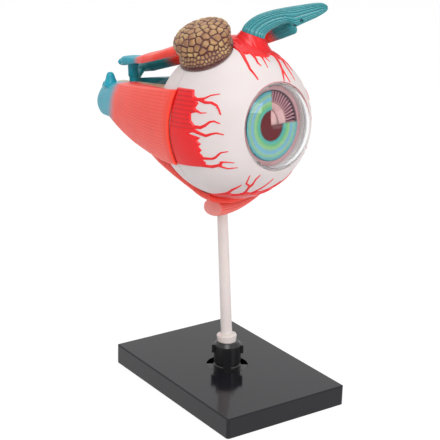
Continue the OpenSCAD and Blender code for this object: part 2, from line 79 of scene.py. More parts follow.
GLOBE_R = 36.5                  # outside of the white shells
SHELL_IN = 34.5                 # inside of the front shell
SEAM_Y = 3.0                    # where the two shells meet
BELLY_IN = GLOBE_R + 0.3        # inside of every straight muscle, where it lies on the globe
SIDE_OUT = GLOBE_R + 1.9        # outside of the two side muscles there
BAND_OUT = GLOBE_R + 3.4        # outside of the upper and the lower muscle there
RIM_Y, RIM_R = -29.8, 20.15     # rim of the cornea
DOME_R, DOME_WALL = 24.2, 1.2   # outer sphere of the cornea, and its wall
DOME_Y = RIM_Y + math.sqrt(DOME_R ** 2 - RIM_R ** 2)
IRIS_Y, IRIS_BACK = -26.4, -25.0
PUPIL_R, IRIS_R = 7.1, 16.2     # inner and outer edge of the iris
LENS_Y, LENS_R = -18.0, 9.6     # place of the lens's widest ring, and its radius
LENS_BEND, LENS_BULGE = 13.0, 6.2       # radius of its back, and depth of its front
NERVE_Z = 5.6                   # height that the muscles' rear pegs are set out from
ROD_TOP_Z = -41.2               # top of the rod
PEG_R = 1.98                    # pegs of the straight muscles


# ---- Colours and sizes ----


def linear(code):
    """Linear RGBA of an sRGB hex code: each channel is ((c + 0.055) / 1.055) to the power 2.4."""
    c = np.array([int(code[i:i + 2], 16) for i in (0, 2, 4)]) / 255
    rgb = np.where(c <= 0.04045, c / 12.92, ((c + 0.055) / 1.055) ** 2.4)
    return (*map(float, rgb), 1.0)


def colour_prop(name, description, code):
    return FloatVectorProperty(name=name, description=description, size=4, subtype="COLOR",
                               default=linear(code), min=0, max=1)


class EyeColours(bpy.types.PropertyGroup):
    muscle: colour_prop("Muscle", "Coral of the straight muscles", "FF4C39")
    # Painted shade: the next colour darkens the muscles' fine grooves and their undersides
    muscle_shade: colour_prop("Muscle groove", "Darker red in the fine grooves", "E8322B")
    teal: colour_prop("Tendon end", "Blue-green of the muscles' rear ends", "2CA8BE")
    teal_dark: colour_prop("Trochlea tendon", "Blue-green of the ribbed bar", "33979F")
    insertion: colour_prop("Insertion", "Red of the tendon ends and vessels", "EE1A20")
    pink: colour_prop("Oblique muscle", "Pink of the muscle under the globe", "F9796F")
    sclera: colour_prop("Sclera", "White of the globe", "E0D8D7")
    gland: colour_prop("Gland", "Brown of the cobbles", "A87C52")
    # The next colour is the joints' own dark brown, and also the painted shade at the gland's foot
    gland_joint_and_shade: colour_prop("Gland joints", "Dark brown between the cobbles", "4E222B")
    nerve: colour_prop("Nerve", "Cream of the optic nerve", "E6D5AE")
    plate: colour_prop("Plate", "Black of the base plate", "17171D")
    rod: colour_prop("Rod", "Off-white of the rod", "E3D8D4")
    pupil: colour_prop("Pupil", "Dark red seen through the pupil", "66000C")


def length_prop(name, description, default, least, most):
    """A length, kept in metres."""
    return FloatProperty(name=name, description=description, default=default, min=least, max=most,
                         unit="LENGTH", precision=5)


def count_prop(name, description, default, least, most):
    return IntProperty(name=name, description=description, default=default, min=least, max=most)


class EyeSizes(bpy.types.PropertyGroup):
    muscle_lines: count_prop("Muscle lines", "Fine grooves along a side muscle", 22, 6, 40)
    groove: length_prop("Groove", "Depth of the fine grooves", 0.00016, 0, 0.0005)
    relief: length_prop("Relief", "Height of the red tendon ends over the globe", 0.00075, 0.0003, 0.0008)
    cobble: length_prop("Cobble", "Width of the gland's larger cobbles", 0.0036, 0.002, 0.008)
    bar_ribs: count_prop("Bar ribs", "Ribs round the trochlea tendon", 24, 8, 40)
    folds: count_prop("Folds", "Radial folds of the ciliary body", 54, 20, 90)


# ---- Mesh making ----


def grid_faces(nu, nv, wrap_u, wrap_v):
    """Quads between neighbours (i, j), (i+1, j), (i+1, j+1), (i, j+1) of an nu by nv grid."""
    rows, columns = np.arange(nu if wrap_u else nu - 1), np.arange(nv if wrap_v else nv - 1)
    i, j = np.meshgrid(rows, columns, indexing="ij")
    i2, j2 = (i + 1) % nu, (j + 1) % nv
    return np.stack([i * nv + j, i2 * nv + j, i2 * nv + j2, i * nv + j2], -1).reshape(-1, 4)


def outward(points, quads):
    """The quads, reversed if the closed surface's signed volume, the sum of a.(b x c)/6, is negative."""
    a, b, c, d = (points[quads[:, k]] for k in range(4))
    volume = (a * np.cross(b, c)).sum() + (a * np.cross(c, d)).sum()
    return quads[:, ::-1] if volume < 0 else quads


MERGE = 2e-6    # points closer than this, in metres, become one


class Piece:
    """Grids of points in one frame, in millimetres, that become one smooth-shaded mesh. Skins whose rims meet
    are joined there."""

    def __init__(self, name, place=GLOBE_FRAME):
        self.name, self.place = name, place
        self.points, self.quads, self.values, self.count = [], [], {}, 0

    def grid(self, points, wrap_u=False, wrap_v=True, flat=False, **values):
        """Adds a skin. Its faces are turned outward, except on a flat one, where the points' order tells.
        values are attributes of its points, which are 0 on the skins that don't name them."""
        points = np.asarray(points, float)
        nu, nv = points.shape[:2]
        row = points.reshape(-1, 3)
        quads = grid_faces(nu, nv, wrap_u, wrap_v)
        self.quads.append((quads if flat else outward(row, quads)) + self.count)
        self.points.append(row)
        for key in {**self.values, **values}:
            new = np.broadcast_to(values.get(key, 0.0), (nu, nv)).reshape(-1)
            self.values.setdefault(key, [np.zeros(self.count)]).append(new)
        self.count += len(row)
        return self

    def build(self, body, slot, material, nodes, sharp=38):
        """Makes the object, which rides the body in place of the CAD nodes. Edges over sharp degrees are
        shaded sharp."""
        turn, shift = self.place
        world = (np.concatenate(self.points) @ turn.T + shift) * MM
        mesh = bpy.data.meshes.new(self.name)
        mesh.from_pydata(world.tolist(), [], np.concatenate(self.quads).tolist())
        for key, parts in self.values.items():
            layer = mesh.attributes.new(key, "FLOAT", "POINT")
            layer.data.foreach_set("value", np.concatenate(parts).astype(np.float32))
        work = bmesh.new()
        work.from_mesh(mesh)
        bmesh.ops.remove_doubles(work, verts=work.verts, dist=MERGE)
        bmesh.ops.dissolve_degenerate(work, edges=work.edges, dist=MERGE / 20)
        work.to_mesh(mesh)
        work.free()
        mesh.shade_smooth()
        mesh.set_sharp_from_angle(angle=math.radians(sharp))
        mesh.materials.append(material)
        obj = bpy.data.objects.new(self.name, mesh)
        bpy.context.scene.collection.objects.link(obj)
        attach(obj, body)
        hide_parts(*nodes)


def smooth(x, low, high):
    """0 below low, 1 above high, and 3t^2 - 2t^3 between."""
    t = np.clip((np.asarray(x, float) - low) / (high - low), 0, 1)
    return t * t * (3 - 2 * t)


def lathe(profile, steps):
    """A profile of (radius, distance along the gaze axis) turned round that axis."""
    profile = np.asarray(profile, float)
    angle = np.linspace(0, 2 * math.pi, steps, endpoint=False)
    r, y = profile[:, 0, None], profile[:, 1, None]
    return np.stack([r * np.cos(angle), y + 0 * angle, r * np.sin(angle)], -1)


def upright(points, x=0.0, y=0.0):
    """A shape turned round the gaze axis, stood up along +Z at (x, y)."""
    return np.stack([points[..., 0] + x, points[..., 2] + y, points[..., 1]], -1)


def arc(r, a0, a1, n, centre=(0.0, 0.0)):
    """n points on a circle from angle a0 to a1 in degrees."""
    a = np.radians(np.linspace(a0, a1, n))
    return np.stack([centre[0] + r * np.cos(a), centre[1] + r * np.sin(a)], -1)


def edge_steps(n):
    """Values from 0 to 1, evenly spaced inside and close together near both ends."""
    edge = 0.03
    near = edge * np.array([0, 0.03, 0.1, 0.22, 0.4, 0.65])
    return np.concatenate([near, np.linspace(edge, 1 - edge, n), 1 - near[::-1]])


# ---- Material making ----


class Finish:
    """A Principled material with a few procedural layers."""

    def __init__(self, name, rough=0.3, coat=0.0, **sockets):
        self.material = bpy.data.materials.new(name)
        self.material.use_nodes = True
        self.tree = self.material.node_tree
        self.shader = self.tree.nodes["Principled BSDF"]
        sockets = {"Roughness": rough, "Coat Weight": coat, "Coat Roughness": 0.08, **sockets}
        for key, value in sockets.items():
            self.shader.inputs[key].default_value = value

    def node(self, kind, settings=(), **links):
        """A node with its settings. Each link or value goes to the input of that name, and i0, i1 and so on
        stand for the first input, the second and so on."""
        made = self.tree.nodes.new("ShaderNode" + kind)
        for key, value in dict(settings).items():
            setattr(made, key, value)
        for key, value in links.items():
            socket = made.inputs[int(key[1:])] if key[0] == "i" and key[1:].isdigit() else made.inputs[key]
            if isinstance(value, bpy.types.NodeSocket):
                self.tree.links.new(value, socket)
            else:
                socket.default_value = value
        return made

    def link(self, out, socket):
        self.tree.links.new(out, self.shader.inputs[socket])

    def value(self, name):
        return self.node("Attribute", {"attribute_name": name}).outputs["Fac"]

    def noise(self, scale, detail=3.0):
        place = self.node("TexCoord").outputs["Object"]
        return self.node("TexNoise", Vector=place, Scale=scale, Detail=detail, Roughness=0.55).outputs["Fac"]

    def ramp(self, factor, *stops):
        """A colour ramp; each stop is (position, colour)."""
        made = self.node("ValToRGB", Fac=factor)
        bar = made.color_ramp
        while len(bar.elements) < len(stops):
            bar.elements.new(0.5)
        for element, (position, colour) in zip(bar.elements, stops):
            element.position = position
            element.color = colour
        return made.outputs["Color"]

    def math(self, operation, a, b=0.0, clamp=False):
        return self.node("Math", {"operation": operation, "use_clamp": clamp}, i0=a, i1=b).outputs[0]

    def mix(self, factor, a, b):
        """Colour a where the factor is 0, and b where it is 1."""
        return self.node("Mix", {"data_type": "RGBA"}, i0=factor, i6=a, i7=b).outputs[2]

    def mottled(self, colour, scale, amount=0.08):
        """The colour, a little darker and lighter in soft patches."""
        tone = self.ramp(self.noise(scale), (0.35, (1 - amount,) * 3 + (1,)), (0.65, (1, 1, 1, 1)))
        made = self.node("Mix", {"data_type": "RGBA", "blend_type": "MULTIPLY"}, i0=1.0, i6=colour, i7=tone)
        return made.outputs[2]

    def paint(self, colour):
        if isinstance(colour, bpy.types.NodeSocket):
            self.link(colour, "Base Color")
        else:
            self.shader.inputs["Base Color"].default_value = tuple(colour)
        return self

    def bump(self, height, strength=0.3, distance=0.0002):
        made = self.node("Bump", Height=height, Strength=strength, Distance=distance)
        self.link(made.outputs["Normal"], "Normal")
        return self

    def uneven(self, scale, low, high):
        """Roughness that drifts between low and high."""
        span = self.node("MapRange", Value=self.noise(scale, 2.0), **{"To Min": low, "To Max": high})
        self.link(span.outputs["Result"], "Roughness")
        return self


def colours():
    return bpy.context.scene.eye_colours


def sizes():
    return bpy.context.scene.eye_sizes


def length(name):
    """A length of the size properties, in millimetres."""
    return round(getattr(sizes(), name) / MM, 5)


def dress(node, finish):
    """Gives a CAD node its material."""
    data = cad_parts[node].data
    data.materials.clear()
    data.materials.append(finish.material)


# ---- Stand ----


class EYE_OT_stand(bpy.types.Operator):
    """Base plate, socket and rod"""
    bl_idname = "eye.stand"
    bl_label = "Stand"

    def execute(self, context):
        plate = Finish("black_gloss", rough=0.12, **{"Specular IOR Level": 0.32})
        plate.paint(plate.mottled(tuple(colours().plate), 60, 0.15))
        plate.bump(plate.noise(900), 0.02).uneven(90, 0.08, 0.16)
        dress("base_plate", plate)
        satin = Finish("black_satin", rough=0.3)
        satin.paint(satin.mottled(linear("141316"), 150, 0.2)).bump(satin.noise(1500), 0.05)
        satin.uneven(200, 0.25, 0.4)
        dress("stand_socket", satin)
        self.rod()
        return {"FINISHED"}

    def rod(self):
        """A turned profile: plug, tapered collar with a round shoulder and fillet, long taper, round end."""
        plug_r, plug_low, neck_r, tip_r = 4.7, -8, 2.8, 2.6
        collar_low, collar_top = 9.2, 11.2
        top = GLOBE_RISE + ROD_TOP_Z
        profile = np.concatenate([
            [[0, plug_low], [plug_r - 0.6, plug_low], [plug_r - 0.2, plug_low + 0.2],
             [plug_r, plug_low + 0.6], [plug_r, collar_low], [plug_r + 0.25, collar_top]],
            arc(1, 0, 90, 9, (plug_r - 0.75, collar_top + 0.2)),
            arc(0.5, -90, -176, 6, (neck_r + 0.5, collar_top + 1.7)),
            np.stack([np.linspace(neck_r, tip_r, 24), np.linspace(collar_top + 1.9, top - 8, 24)], -1),
            [[tip_r, top - 0.5], [tip_r - 0.15, top - 0.15], [tip_r - 0.5, top], [0, top]]])
        white = Finish("rod_white", rough=0.34, **{"Subsurface Weight": 0.1, "Subsurface Scale": 0.002})
        white.paint(white.mottled(tuple(colours().rod), 40, 0.05)).bump(white.noise(400), 0.04)
        points = upright(lathe(profile, 96))
        Piece("rod", ROD_FRAME).grid(points).build("rod", "rod_white", white.material, ["stand_rod"])


# ---- Globe ----


class EYE_OT_globe(bpy.types.Operator):
    """White shells, the cups inside them and the optic nerve"""
    bl_idname = "eye.globe"
    bl_label = "Globe"

    def execute(self, context):
        sclera = Finish("sclera_white", rough=0.45,
                        **{"Subsurface Weight": 0.08, "Subsurface Scale": 0.003, "Specular IOR Level": 0.35})
        tone = sclera.ramp(sclera.noise(28, 2.0), (0.3, linear("DACDCC")), (0.75, tuple(colours().sclera)))
        sclera.paint(tone).bump(sclera.noise(260), 0.03).uneven(50, 0.4, 0.5)
        self.front_shell(sclera)
        dress("sclera_rear", sclera)
        self.cups()
        self.nerve()
        return {"FINISHED"}

    def front_shell(self, sclera):
        """A turned profile: the step at the seam, the outer sphere, the ledge for the cornea, the well and
        the lip that hold the ciliary body, and the inner sphere."""
        step_r, well_r, lip_r, back_r = 35.3, 18.5, 17.4, 20.35
        ledge_y, lip_y, back_y = -28.2, -19.5, -18.8
        edge = math.degrees(math.asin((SEAM_Y - 0.3) / GLOBE_R))
        opening = -math.degrees(math.acos((RIM_R + 0.35) / GLOBE_R))
        inner = -math.degrees(math.acos((RIM_R + 1.1) / SHELL_IN))
        profile = np.concatenate([
            [[step_r, SEAM_Y - 0.02], [36.2, SEAM_Y - 0.05]],
            arc(GLOBE_R, edge, opening, 120),
            [[20.3, RIM_Y - 0.1], [20.22, RIM_Y + 0.2], [20.2, ledge_y], [well_r, ledge_y], [well_r, lip_y],
             [lip_r, lip_y], [lip_r, back_y], [back_r, back_y], [back_r, -25.5], [21.2, -26.6]],
            arc(SHELL_IN, inner, 0, 60), [[step_r, 0.3]]])
        Piece("sclera_front").grid(lathe(profile, 256), wrap_u=True).build(
            "globe_front", "sclera_white", sclera.material, ["sclera_front"])

    def cups(self):
        for node, slot, rough, scale, (low, dark), (high, light) in (
                ("choroid", "choroid_red", 0.4, 300, (0.4, "5A1418"), (0.6, "8C2B2C")),
                ("retina", "retina_pink", 0.35, 120, (0.35, "C9684C"), (0.6, "E59A7C"))):
            skin = Finish(slot, rough=rough)
            skin.paint(skin.ramp(skin.noise(scale), (low, linear(dark)), (high, linear(light))))
            dress(node, skin)
        clear = Finish("clear_body", rough=0.03, **{"Transmission Weight": 0.9, "IOR": 1.15})
        clear.paint(linear("F3EEF0"))
        dress("vitreous_body", clear)

    def nerve(self):
        """A tapered rod with a stepped, rounded end, a little under the height of the muscles' pegs. Its root
        follows the globe: no point of it is nearer to the globe's centre than the shell."""
        profile = [[0, 30], [8, 30], [7.8, 45], [7.6, 70], [7.5, 88.4], [7.2, 89.9], [6.4, 90.7], [5.9, 90.3],
                   [5.7, 90.9], [0, 91]]
        points = lathe(profile, 128) + (NERVE_Z - 0.7) * Z
        x, y, z = np.moveaxis(points, -1, 0)
        root = np.sqrt(np.maximum((GLOBE_R - 0.9) ** 2 - x * x - z * z, 0))
        points[..., 1] = np.maximum(y, root)
        skin = Finish("nerve_cream", rough=0.45)
        skin.paint(skin.mottled(tuple(colours().nerve), 180, 0.15)).bump(skin.noise(500), 0.1)
        Piece("optic_nerve").grid(points).build("globe_rear", "nerve_cream", skin.material, ["optic_nerve"])


# ---- Front of the eye ----


# Places of the iris's coloured rings, from the pupil's edge to the rim
IRIS_RINGS = ((0, "3C8C8E"), (0.08, "4FA69C"), (0.22, "6CB487"), (0.33, "8ABF7B"), (0.42, "96C294"),
              (0.51, "74B0C6"), (0.62, "7AB3CE"), (0.70, "94BF9C"), (0.77, "8FBF95"), (0.85, "6DB3B8"),
              (0.93, "5DA8B0"), (1, "2C7980"))
# Radii of the shallow steps between them
IRIS_STEPS = (9.2, 11.4, 13.8)


class EYE_OT_front(bpy.types.Operator):
    """Iris, ciliary body, lens and cornea"""
    bl_idname = "eye.front"
    bl_label = "Front of the eye"

    def execute(self, context):
        self.iris()
        self.ciliary()
        self.lens()
        self.cornea()
        return {"FINISHED"}

    def iris(self):
        """A flat ring over 270 degrees: its front waves with the sine of the angle in fine radial fibres,
        dips in a bell curve at each step, and is rounded at both rims. A thin dark disc with the same quarter
        missing closes the pupil."""
        n = 420
        angle = np.radians(np.linspace(90, 360, n))
        rim = np.array([0, 0.02, 0.1])
        flat = np.linspace(PUPIL_R + 0.25, IRIS_R - 0.25, 70)
        r = np.concatenate([PUPIL_R + rim, flat, IRIS_R - rim[::-1]])
        rr, aa = np.meshgrid(r, angle, indexing="ij")
        fibre = 0.07 * np.sin(aa * 140 + 1.5 * np.sin(rr * 2))
        fibre = fibre * smooth(rr, 7.6, 9) * (1 - smooth(rr, 14, 15.5))
        step = sum(0.12 * np.exp(-((rr - c) / 0.3) ** 2) for c in IRIS_STEPS)
        edge = 0.25 * (smooth(rr, PUPIL_R + 0.4, PUPIL_R) + smooth(rr, IRIS_R - 0.4, IRIS_R))
        front = self.polar(rr, aa, IRIS_Y + fibre + step + edge)
        back = self.polar(rr, aa, IRIS_BACK)
        ring = np.concatenate([rr, rr[::-1]], 0)
        piece = Piece("iris")
        piece.grid(np.concatenate([front, back[::-1]], 0), wrap_u=True, wrap_v=False, ring=ring)
        pupil_r, pupil_a = np.meshgrid(np.linspace(0, PUPIL_R + 0.2, 16), angle, indexing="ij")
        skins = [self.polar(pupil_r, pupil_a, IRIS_Y + depth - 0.02 * pupil_r) for depth in (0.8, 1.2)]
        piece.grid(np.concatenate([skins[0], skins[1][::-1]], 0), wrap_u=True, wrap_v=False, dark=1.0)
        # the two cut faces of the missing quarter, ordered so that they face it
        for k in (0, n - 1):
            face = np.stack([front[:, k], back[:, k]], 1)
            piece.grid(face if k else face[:, ::-1], wrap_v=False, flat=True, ring=np.stack([r, r], 1))
        piece.build("iris", "iris_rings", self.iris_finish(), ["iris"])

    def polar(self, r, angle, y):
        """Radius and angle round the gaze axis, and the distance along it, to points."""
        return np.stack([r * np.cos(angle), y + 0 * r, r * np.sin(angle)], -1)

    def iris_finish(self):
        """Coloured rings by radius, with a border that a fine noise shakes, and the dark pupil."""
        paint = Finish("iris_rings", rough=0.4, **{"Specular IOR Level": 0.2})
        share = paint.node("MapRange", Value=paint.value("ring"), **{"From Min": PUPIL_R, "From Max": IRIS_R})
        shake = paint.math("MULTIPLY", paint.math("SUBTRACT", paint.noise(700, 4.0), 0.5), 0.16)
        rings = paint.ramp(paint.math("ADD", share.outputs["Result"], shake),
                           *[(place, linear(code)) for place, code in IRIS_RINGS])
        rings = paint.mix(paint.value("dark"), rings, paint.mottled(tuple(colours().pupil), 400, 0.2))
        return paint.paint(rings).bump(paint.noise(1200), 0.2).material

    def ciliary(self):
        """A ring whose front waves in and out with the cosine of the folds' number times the angle. A pale
        collar slopes back from its inner rim to the lens, and a drum behind it fills the shell's well."""
        n = 864
        rim, outer, drum, back = 10.1, 16.3, 18.4, -18.8
        angle = np.linspace(0, 2 * math.pi, n, endpoint=False)
        r = np.concatenate([[rim, rim + 0.05], np.linspace(rim + 0.2, outer - 0.1, 36), [outer]])
        rr, aa = np.meshgrid(r, angle, indexing="ij")
        wave = 0.5 + 0.5 * np.cos(sizes().folds * aa)
        depth = smooth(rr, rim, rim + 0.9) * (1 - smooth(rr, outer - 0.9, outer - 0.1))
        front = self.polar(rr, aa, -24.9 + 1.6 * depth * (1 - wave ** 0.7) + 0.8 * smooth(rr, rim + 0.9, rim))
        rest = lathe([[16.35, -25.9], [16.5, -26.0], [drum - 0.1, -26.0], [drum, -25.9], [drum, back - 0.1],
                      [drum - 0.1, back], [rim + 0.1, back], [rim, back - 0.1],
                      [9.9, -22.3], [7.6, -22.1], [7.4, -22.3], [7.5, -22.6]], n)
        on_drum = np.where(np.arange(len(rest)) < 8, 0.35, 0)[:, None] + 0 * angle
        ring = np.concatenate([smooth(rr, rim - 0.1, rim + 1.9), on_drum], 0)
        # Painted shade and light: 0 in the folds' valleys and at the rims, up to 1 on the crests
        fold = np.concatenate([depth * wave, np.full(rest.shape[:2], 0.6)], 0)
        paint = Finish("ciliary_plum", rough=0.35)
        # the plum is painted darker in the valleys, as shade, and paler pink on the crests, as light
        tone = paint.ramp(paint.value("fold"), (0.0, linear("452237")), (0.5, linear("8F5468")),
                          (1.0, linear("DCA6AC")))
        pale = paint.ramp(paint.value("ring"), (0.0, (1, 1, 1, 1)), (1.0, (0, 0, 0, 1)))
        paint.paint(paint.mix(pale, tone, linear("DBA9A8")))
        points = np.concatenate([front, rest], 0)
        Piece("ciliary_body").grid(points, wrap_u=True, fold=fold, ring=ring).build(
            "ciliary_body", "ciliary_plum", paint.material, ["ciliary_body"])

    def lens(self):
        """Half an ellipse in front of the lens's widest ring, and part of a sphere behind it."""
        t = np.radians(np.linspace(0, 90, 40))
        front = np.stack([LENS_R * np.sin(t), LENS_Y - LENS_BULGE * np.cos(t)], -1)
        depth = math.sqrt(LENS_BEND ** 2 - LENS_R ** 2)
        r = LENS_R * np.cos(t[1:])
        back = np.stack([r, LENS_Y - depth + np.sqrt(LENS_BEND ** 2 - r ** 2)], -1)
        back[-1, 0] = 0
        skin = Finish("lens_pink", rough=0.25, **{"Specular IOR Level": 0.3})
        skin.paint(skin.mottled(linear("E3B3B0"), 120, 0.08))
        points = lathe(np.concatenate([front, back]), 128)
        Piece("lens").grid(points).build("lens", "lens_pink", skin.material, ["lens"])

    def cornea(self):
        """Two spheres round one centre, joined by a flat rim that sits on the ledge of the front shell."""
        inner_r, bore, foot = DOME_R - DOME_WALL, 18.7, RIM_Y + 1.58
        low = math.degrees(math.asin((RIM_Y - DOME_Y) / DOME_R))
        inner = math.degrees(math.asin((RIM_Y - 0.1 - DOME_Y) / inner_r))
        profile = np.concatenate([
            arc(DOME_R, -90, low, 60, (0, DOME_Y)),
            [[RIM_R, RIM_Y + 0.1], [RIM_R, foot - 0.08], [RIM_R - 0.1, foot], [bore + 0.05, foot],
             [bore, foot - 0.08], [bore, RIM_Y + 0.05]],
            arc(inner_r, inner, -90, 60, (0, DOME_Y))])
        profile[0, 0] = profile[-1, 0] = 0
        glass = Finish("cornea_clear", rough=0.02, **{"Transmission Weight": 1.0, "IOR": 1.24})
        glass.paint(linear("FAFBFC"))
        Piece("cornea").grid(lathe(profile, 192)).build("cornea", "cornea_clear", glass.material, ["cornea"])


# ---- Red relief on the front shell ----


def to_segment(u, v, a, b):
    """Distance from grid points to the segment from a to b, and how far along it the nearest spot lies."""
    (au, av), (bu, bv) = a, b
    t = np.clip(((u - au) * (bu - au) + (v - av) * (bv - av)) / ((bu - au) ** 2 + (bv - av) ** 2), 0, 1)
    return np.hypot(u - au - t * (bu - au), v - av - t * (bv - av)), t


def distance_to_outline(u, v, outline):
    """Signed distance from grid points to a closed outline, positive inside."""
    best = np.full(u.shape, np.inf)
    inside = np.zeros(u.shape, bool)
    for a, b in zip(outline, outline[1:] + outline[:1]):
        best = np.minimum(best, to_segment(u, v, a, b)[0])
        (au, av), (bu, bv) = a, b
        if av != bv:
            inside ^= ((av > v) != (bv > v)) & (u < (bu - au) * (v - av) / (bv - av) + au)
    return np.where(inside, best, -best)


def distance_to_vessel(u, v, line, w0, w1):
    """Half the vessel's local width less the distance to its line, which is positive on the vessel. Its width
    runs from w0 to w1."""
    n = len(line) - 1
    best = np.full(u.shape, -np.inf)
    for k in range(n):
        far, t = to_segment(u, v, line[k], line[k + 1])
        best = np.maximum(best, (w0 + (w1 - w0) * (k + t) / n) / 2 - far)
    return best


def side_front(h):
    """Front edge of a side muscle: y is a sine of the share of its height, and levels off lower down."""
    return 1.3 + 1.6 * np.sin(math.pi / 2 * np.minimum(1, (1 - h) * 1.4))


# Outlines of the red pieces, and their vessels as a line with the widths at its ends: (y, z) for the side
# ones, (x, y) for the upper and the lower one
SIDE_HEIGHTS = np.linspace(1, 0, 12)
SIDE_FRONT = list(zip(side_front(SIDE_HEIGHTS) - 0.15, -16.6 + 35.6 * SIDE_HEIGHTS))
SIDE_FRINGE = [(-13.6, -16.4), (-14.6, -14), (-13.4, -12.4), (-14.4, -11), (-13.2, -9.2), (-14.6, -8),
               (-13.4, -6.4), (-14.8, -5), (-13.2, -3.6), (-14.9, -2.2), (-12.2, -1.4), (-9, -0.6),
               (-12.8, 0.6), (-12.6, 3), (-10.4, 5.4), (-10, 8.5), (-13.4, 9.3), (-11.6, 11), (-12.6, 13),
               (-10, 15), (-8.4, 18.6)]
SIDE_VESSELS = [
    ([(-8, 15.8), (-11.5, 14.6), (-14.5, 15.1), (-17, 16.5), (-20, 17)], 1.5, 0.35),
    ([(-9, 14.4), (-12.5, 14.6), (-15.5, 13.4), (-18, 13.4), (-20.3, 12.2), (-21.5, 10.5), (-22.5, 8.3)],
     1.6, 0.5),
    ([(-8, 10.4), (-12.5, 9.7), (-14.5, 8.8), (-17, 9)], 1.4, 0.3),
    ([(-7, 3.2), (-12, 2.6), (-15, 2.4), (-17, 3.4), (-18.8, 5), (-20.4, 5.4), (-22.6, 4.4)], 1.9, 0.5),
    ([(-6, 1.2), (-12, 0.8), (-15, -0.4), (-17.3, -1.2), (-19.5, -0.4), (-21.5, 0.1), (-24, -0.6)], 1.9, 0.5),
    ([(-10, -11.6), (-14.5, -12), (-18, -12), (-19.6, -11.2), (-22, -9), (-24.5, -8.5)], 1.5, 0.4),
    ([(-10, -15.4), (-16.5, -16), (-20, -15), (-21, -13.6), (-23, -13.6), (-25, -14)], 1.7, 0.35),
    ([(-19, -15.3), (-20.6, -16.2), (-22, -16.9), (-25, -16.5)], 1.2, 0.35)]
TOP_OUTLINE = [(-7.5, 0.1), (-6, -6), (-6, -12), (-5.6, -16), (-4.6, -16.2), (-3.6, -16), (-2.4, -18.4),
               (0, -19), (1.4, -20.2), (2.6, -19.2), (4.5, -19.9), (6, -19), (8.5, -17.4), (10, -18.6),
               (13, -19), (16.5, -17), (18.5, -11), (17, -4), (15.5, 0.1)]
TOP_VESSELS = [
    ([(-5, -8), (-5.9, -13), (-8, -18), (-9.6, -23), (-9, -27.3)], 2.3, 0.7),
    ([(-2.5, -16), (-3.1, -20), (-4, -22), (-3.5, -23.6)], 1.6, 0.6),
    ([(1, -17), (0.6, -21), (-0.6, -25)], 1.3, 0.4),
    ([(3.2, -17), (2.6, -20), (3.2, -22.2)], 1.3, 0.4),
    ([(10, -15), (10.4, -19), (9, -23), (7.5, -26), (6, -28), (4.5, -30.5)], 2.2, 0.5),
    ([(8, -25.2), (8, -28), (8.6, -30.3)], 1.2, 0.4),
    ([(14.5, -14), (14.5, -19), (13, -23.5), (13.5, -27.7)], 1.8, 0.4),
    ([(17, -14), (17.6, -19), (17, -22.5)], 1.6, 0.4)]
LOW_OUTLINE = [(-16.2, 0.1), (-17, -6), (-16.6, -11), (-15.4, -13), (-13.5, -12.2), (-11.5, -14),
               (-9.6, -17.4), (-7.5, -17.6), (-5, -16.8), (0, -15.4), (6, -16.8), (10, -15), (14, -10),
               (16.2, 0.1)]
LOW_VESSELS = [
    ([(-9.3, -14), (-9.8, -18), (-11, -22), (-13.6, -22.6), (-14.4, -26)], 1.6, 0.5),
    ([(-10.8, -21.4), (-10.3, -23.6), (-10.7, -26), (-9.8, -28)], 1.3, 0.4),
    ([(-15.4, -8), (-16.2, -16), (-15, -20.8)], 1.8, 0.4),
    ([(-6, -15), (-3, -18), (1, -18.4), (4.5, -20.5), (8, -22.5)], 1.5, 0.5),
    ([(-6.5, -15.5), (-4.8, -19.5), (-3, -23), (-0.8, -27)], 1.3, 0.4),
    ([(9, -13), (12, -19), (14, -24)], 1.5, 0.4)]
# Where the upper muscle's root swells on the globe: a sphere whose centre lies further back
ROOT_R, ROOT_BACK = GLOBE_R + 3.9, 6.9
ROOT_OUTLINE = [(-6.5, 3), (-6.5, -0.1), (-3.5, -7), (1, -12), (8, -13), (14, -9), (15, -0.1), (15, 3)]
# The ribbed bar's foot (x, y) and the level direction of its side view
BAR_FOOT = (6.2, -8.8)
BAR_TURN = math.radians(-43)
BAR_ALONG = (math.cos(BAR_TURN), math.sin(BAR_TURN))
# Its seat: one end of the slant in the side view, and the slope
SEAT_S, SEAT_Z = -5.7, 42.2
SEAT_TILT = math.radians(21.3)
RELIEF_STEP = 0.2               # width of the relief's grid cells
SUNK_R = GLOBE_R - 0.2          # the skin lies here where nothing shows


def relief_patch(outline, under, vessels, span_u, span_v, lift, shape):
    """A skin over part of the globe. It is sunk under the white surface, and rises over it: by 0.05 mm less
    than the relief inside the outline, to 0.72 of that way on the vessels, and by 0.25 mm on the strip that
    runs under the muscle's edge. shape carves it. A lower skin, which keeps out of the cornea's opening,
    closes it. lift turns (u, v, radius) into points."""
    u, v = np.meshgrid(np.arange(*span_u, RELIEF_STEP), np.arange(*span_v, RELIEF_STEP), indexing="ij")
    patch = distance_to_outline(u, v, outline)
    height = smooth(patch, -0.25, 0.55)
    for vessel in vessels:
        height = np.maximum(height, 0.72 * smooth(distance_to_vessel(u, v, *vessel), -0.3, 0.45))
    strip = smooth(distance_to_outline(u, v, under), -0.1, 0.2)
    radius = np.maximum(SUNK_R + (length("relief") + 0.15) * height, SUNK_R + 0.45 * strip)
    # shape also gives the painted shade of the relief's grooves
    radius, deep = shape(u, v, patch, radius)
    top = lift(u, v, radius)
    low = lift(u, v, np.clip(np.hypot(v, RIM_R + 0.55), GLOBE_R - 1.0, GLOBE_R - 0.25))
    rim = np.zeros_like(u, bool)
    rim[0] = rim[-1] = rim[:, 0] = rim[:, -1] = True
    top[rim] = low[rim]
    return top, low, deep


def side_lift(side):
    """(y, z, radius) to a point on the nose side (+1) or the outer side (-1)."""
    return lambda u, v, r: np.stack([side * np.sqrt(np.maximum(r * r - u * u - v * v, 0)), u, v], -1)


def cap_lift(sign):
    """(x, y, radius) to a point on the top (+1) or the underside (-1)."""
    return lambda u, v, r: np.stack([u, v, sign * np.sqrt(np.maximum(r * r - u * u - v * v, 0))], -1)


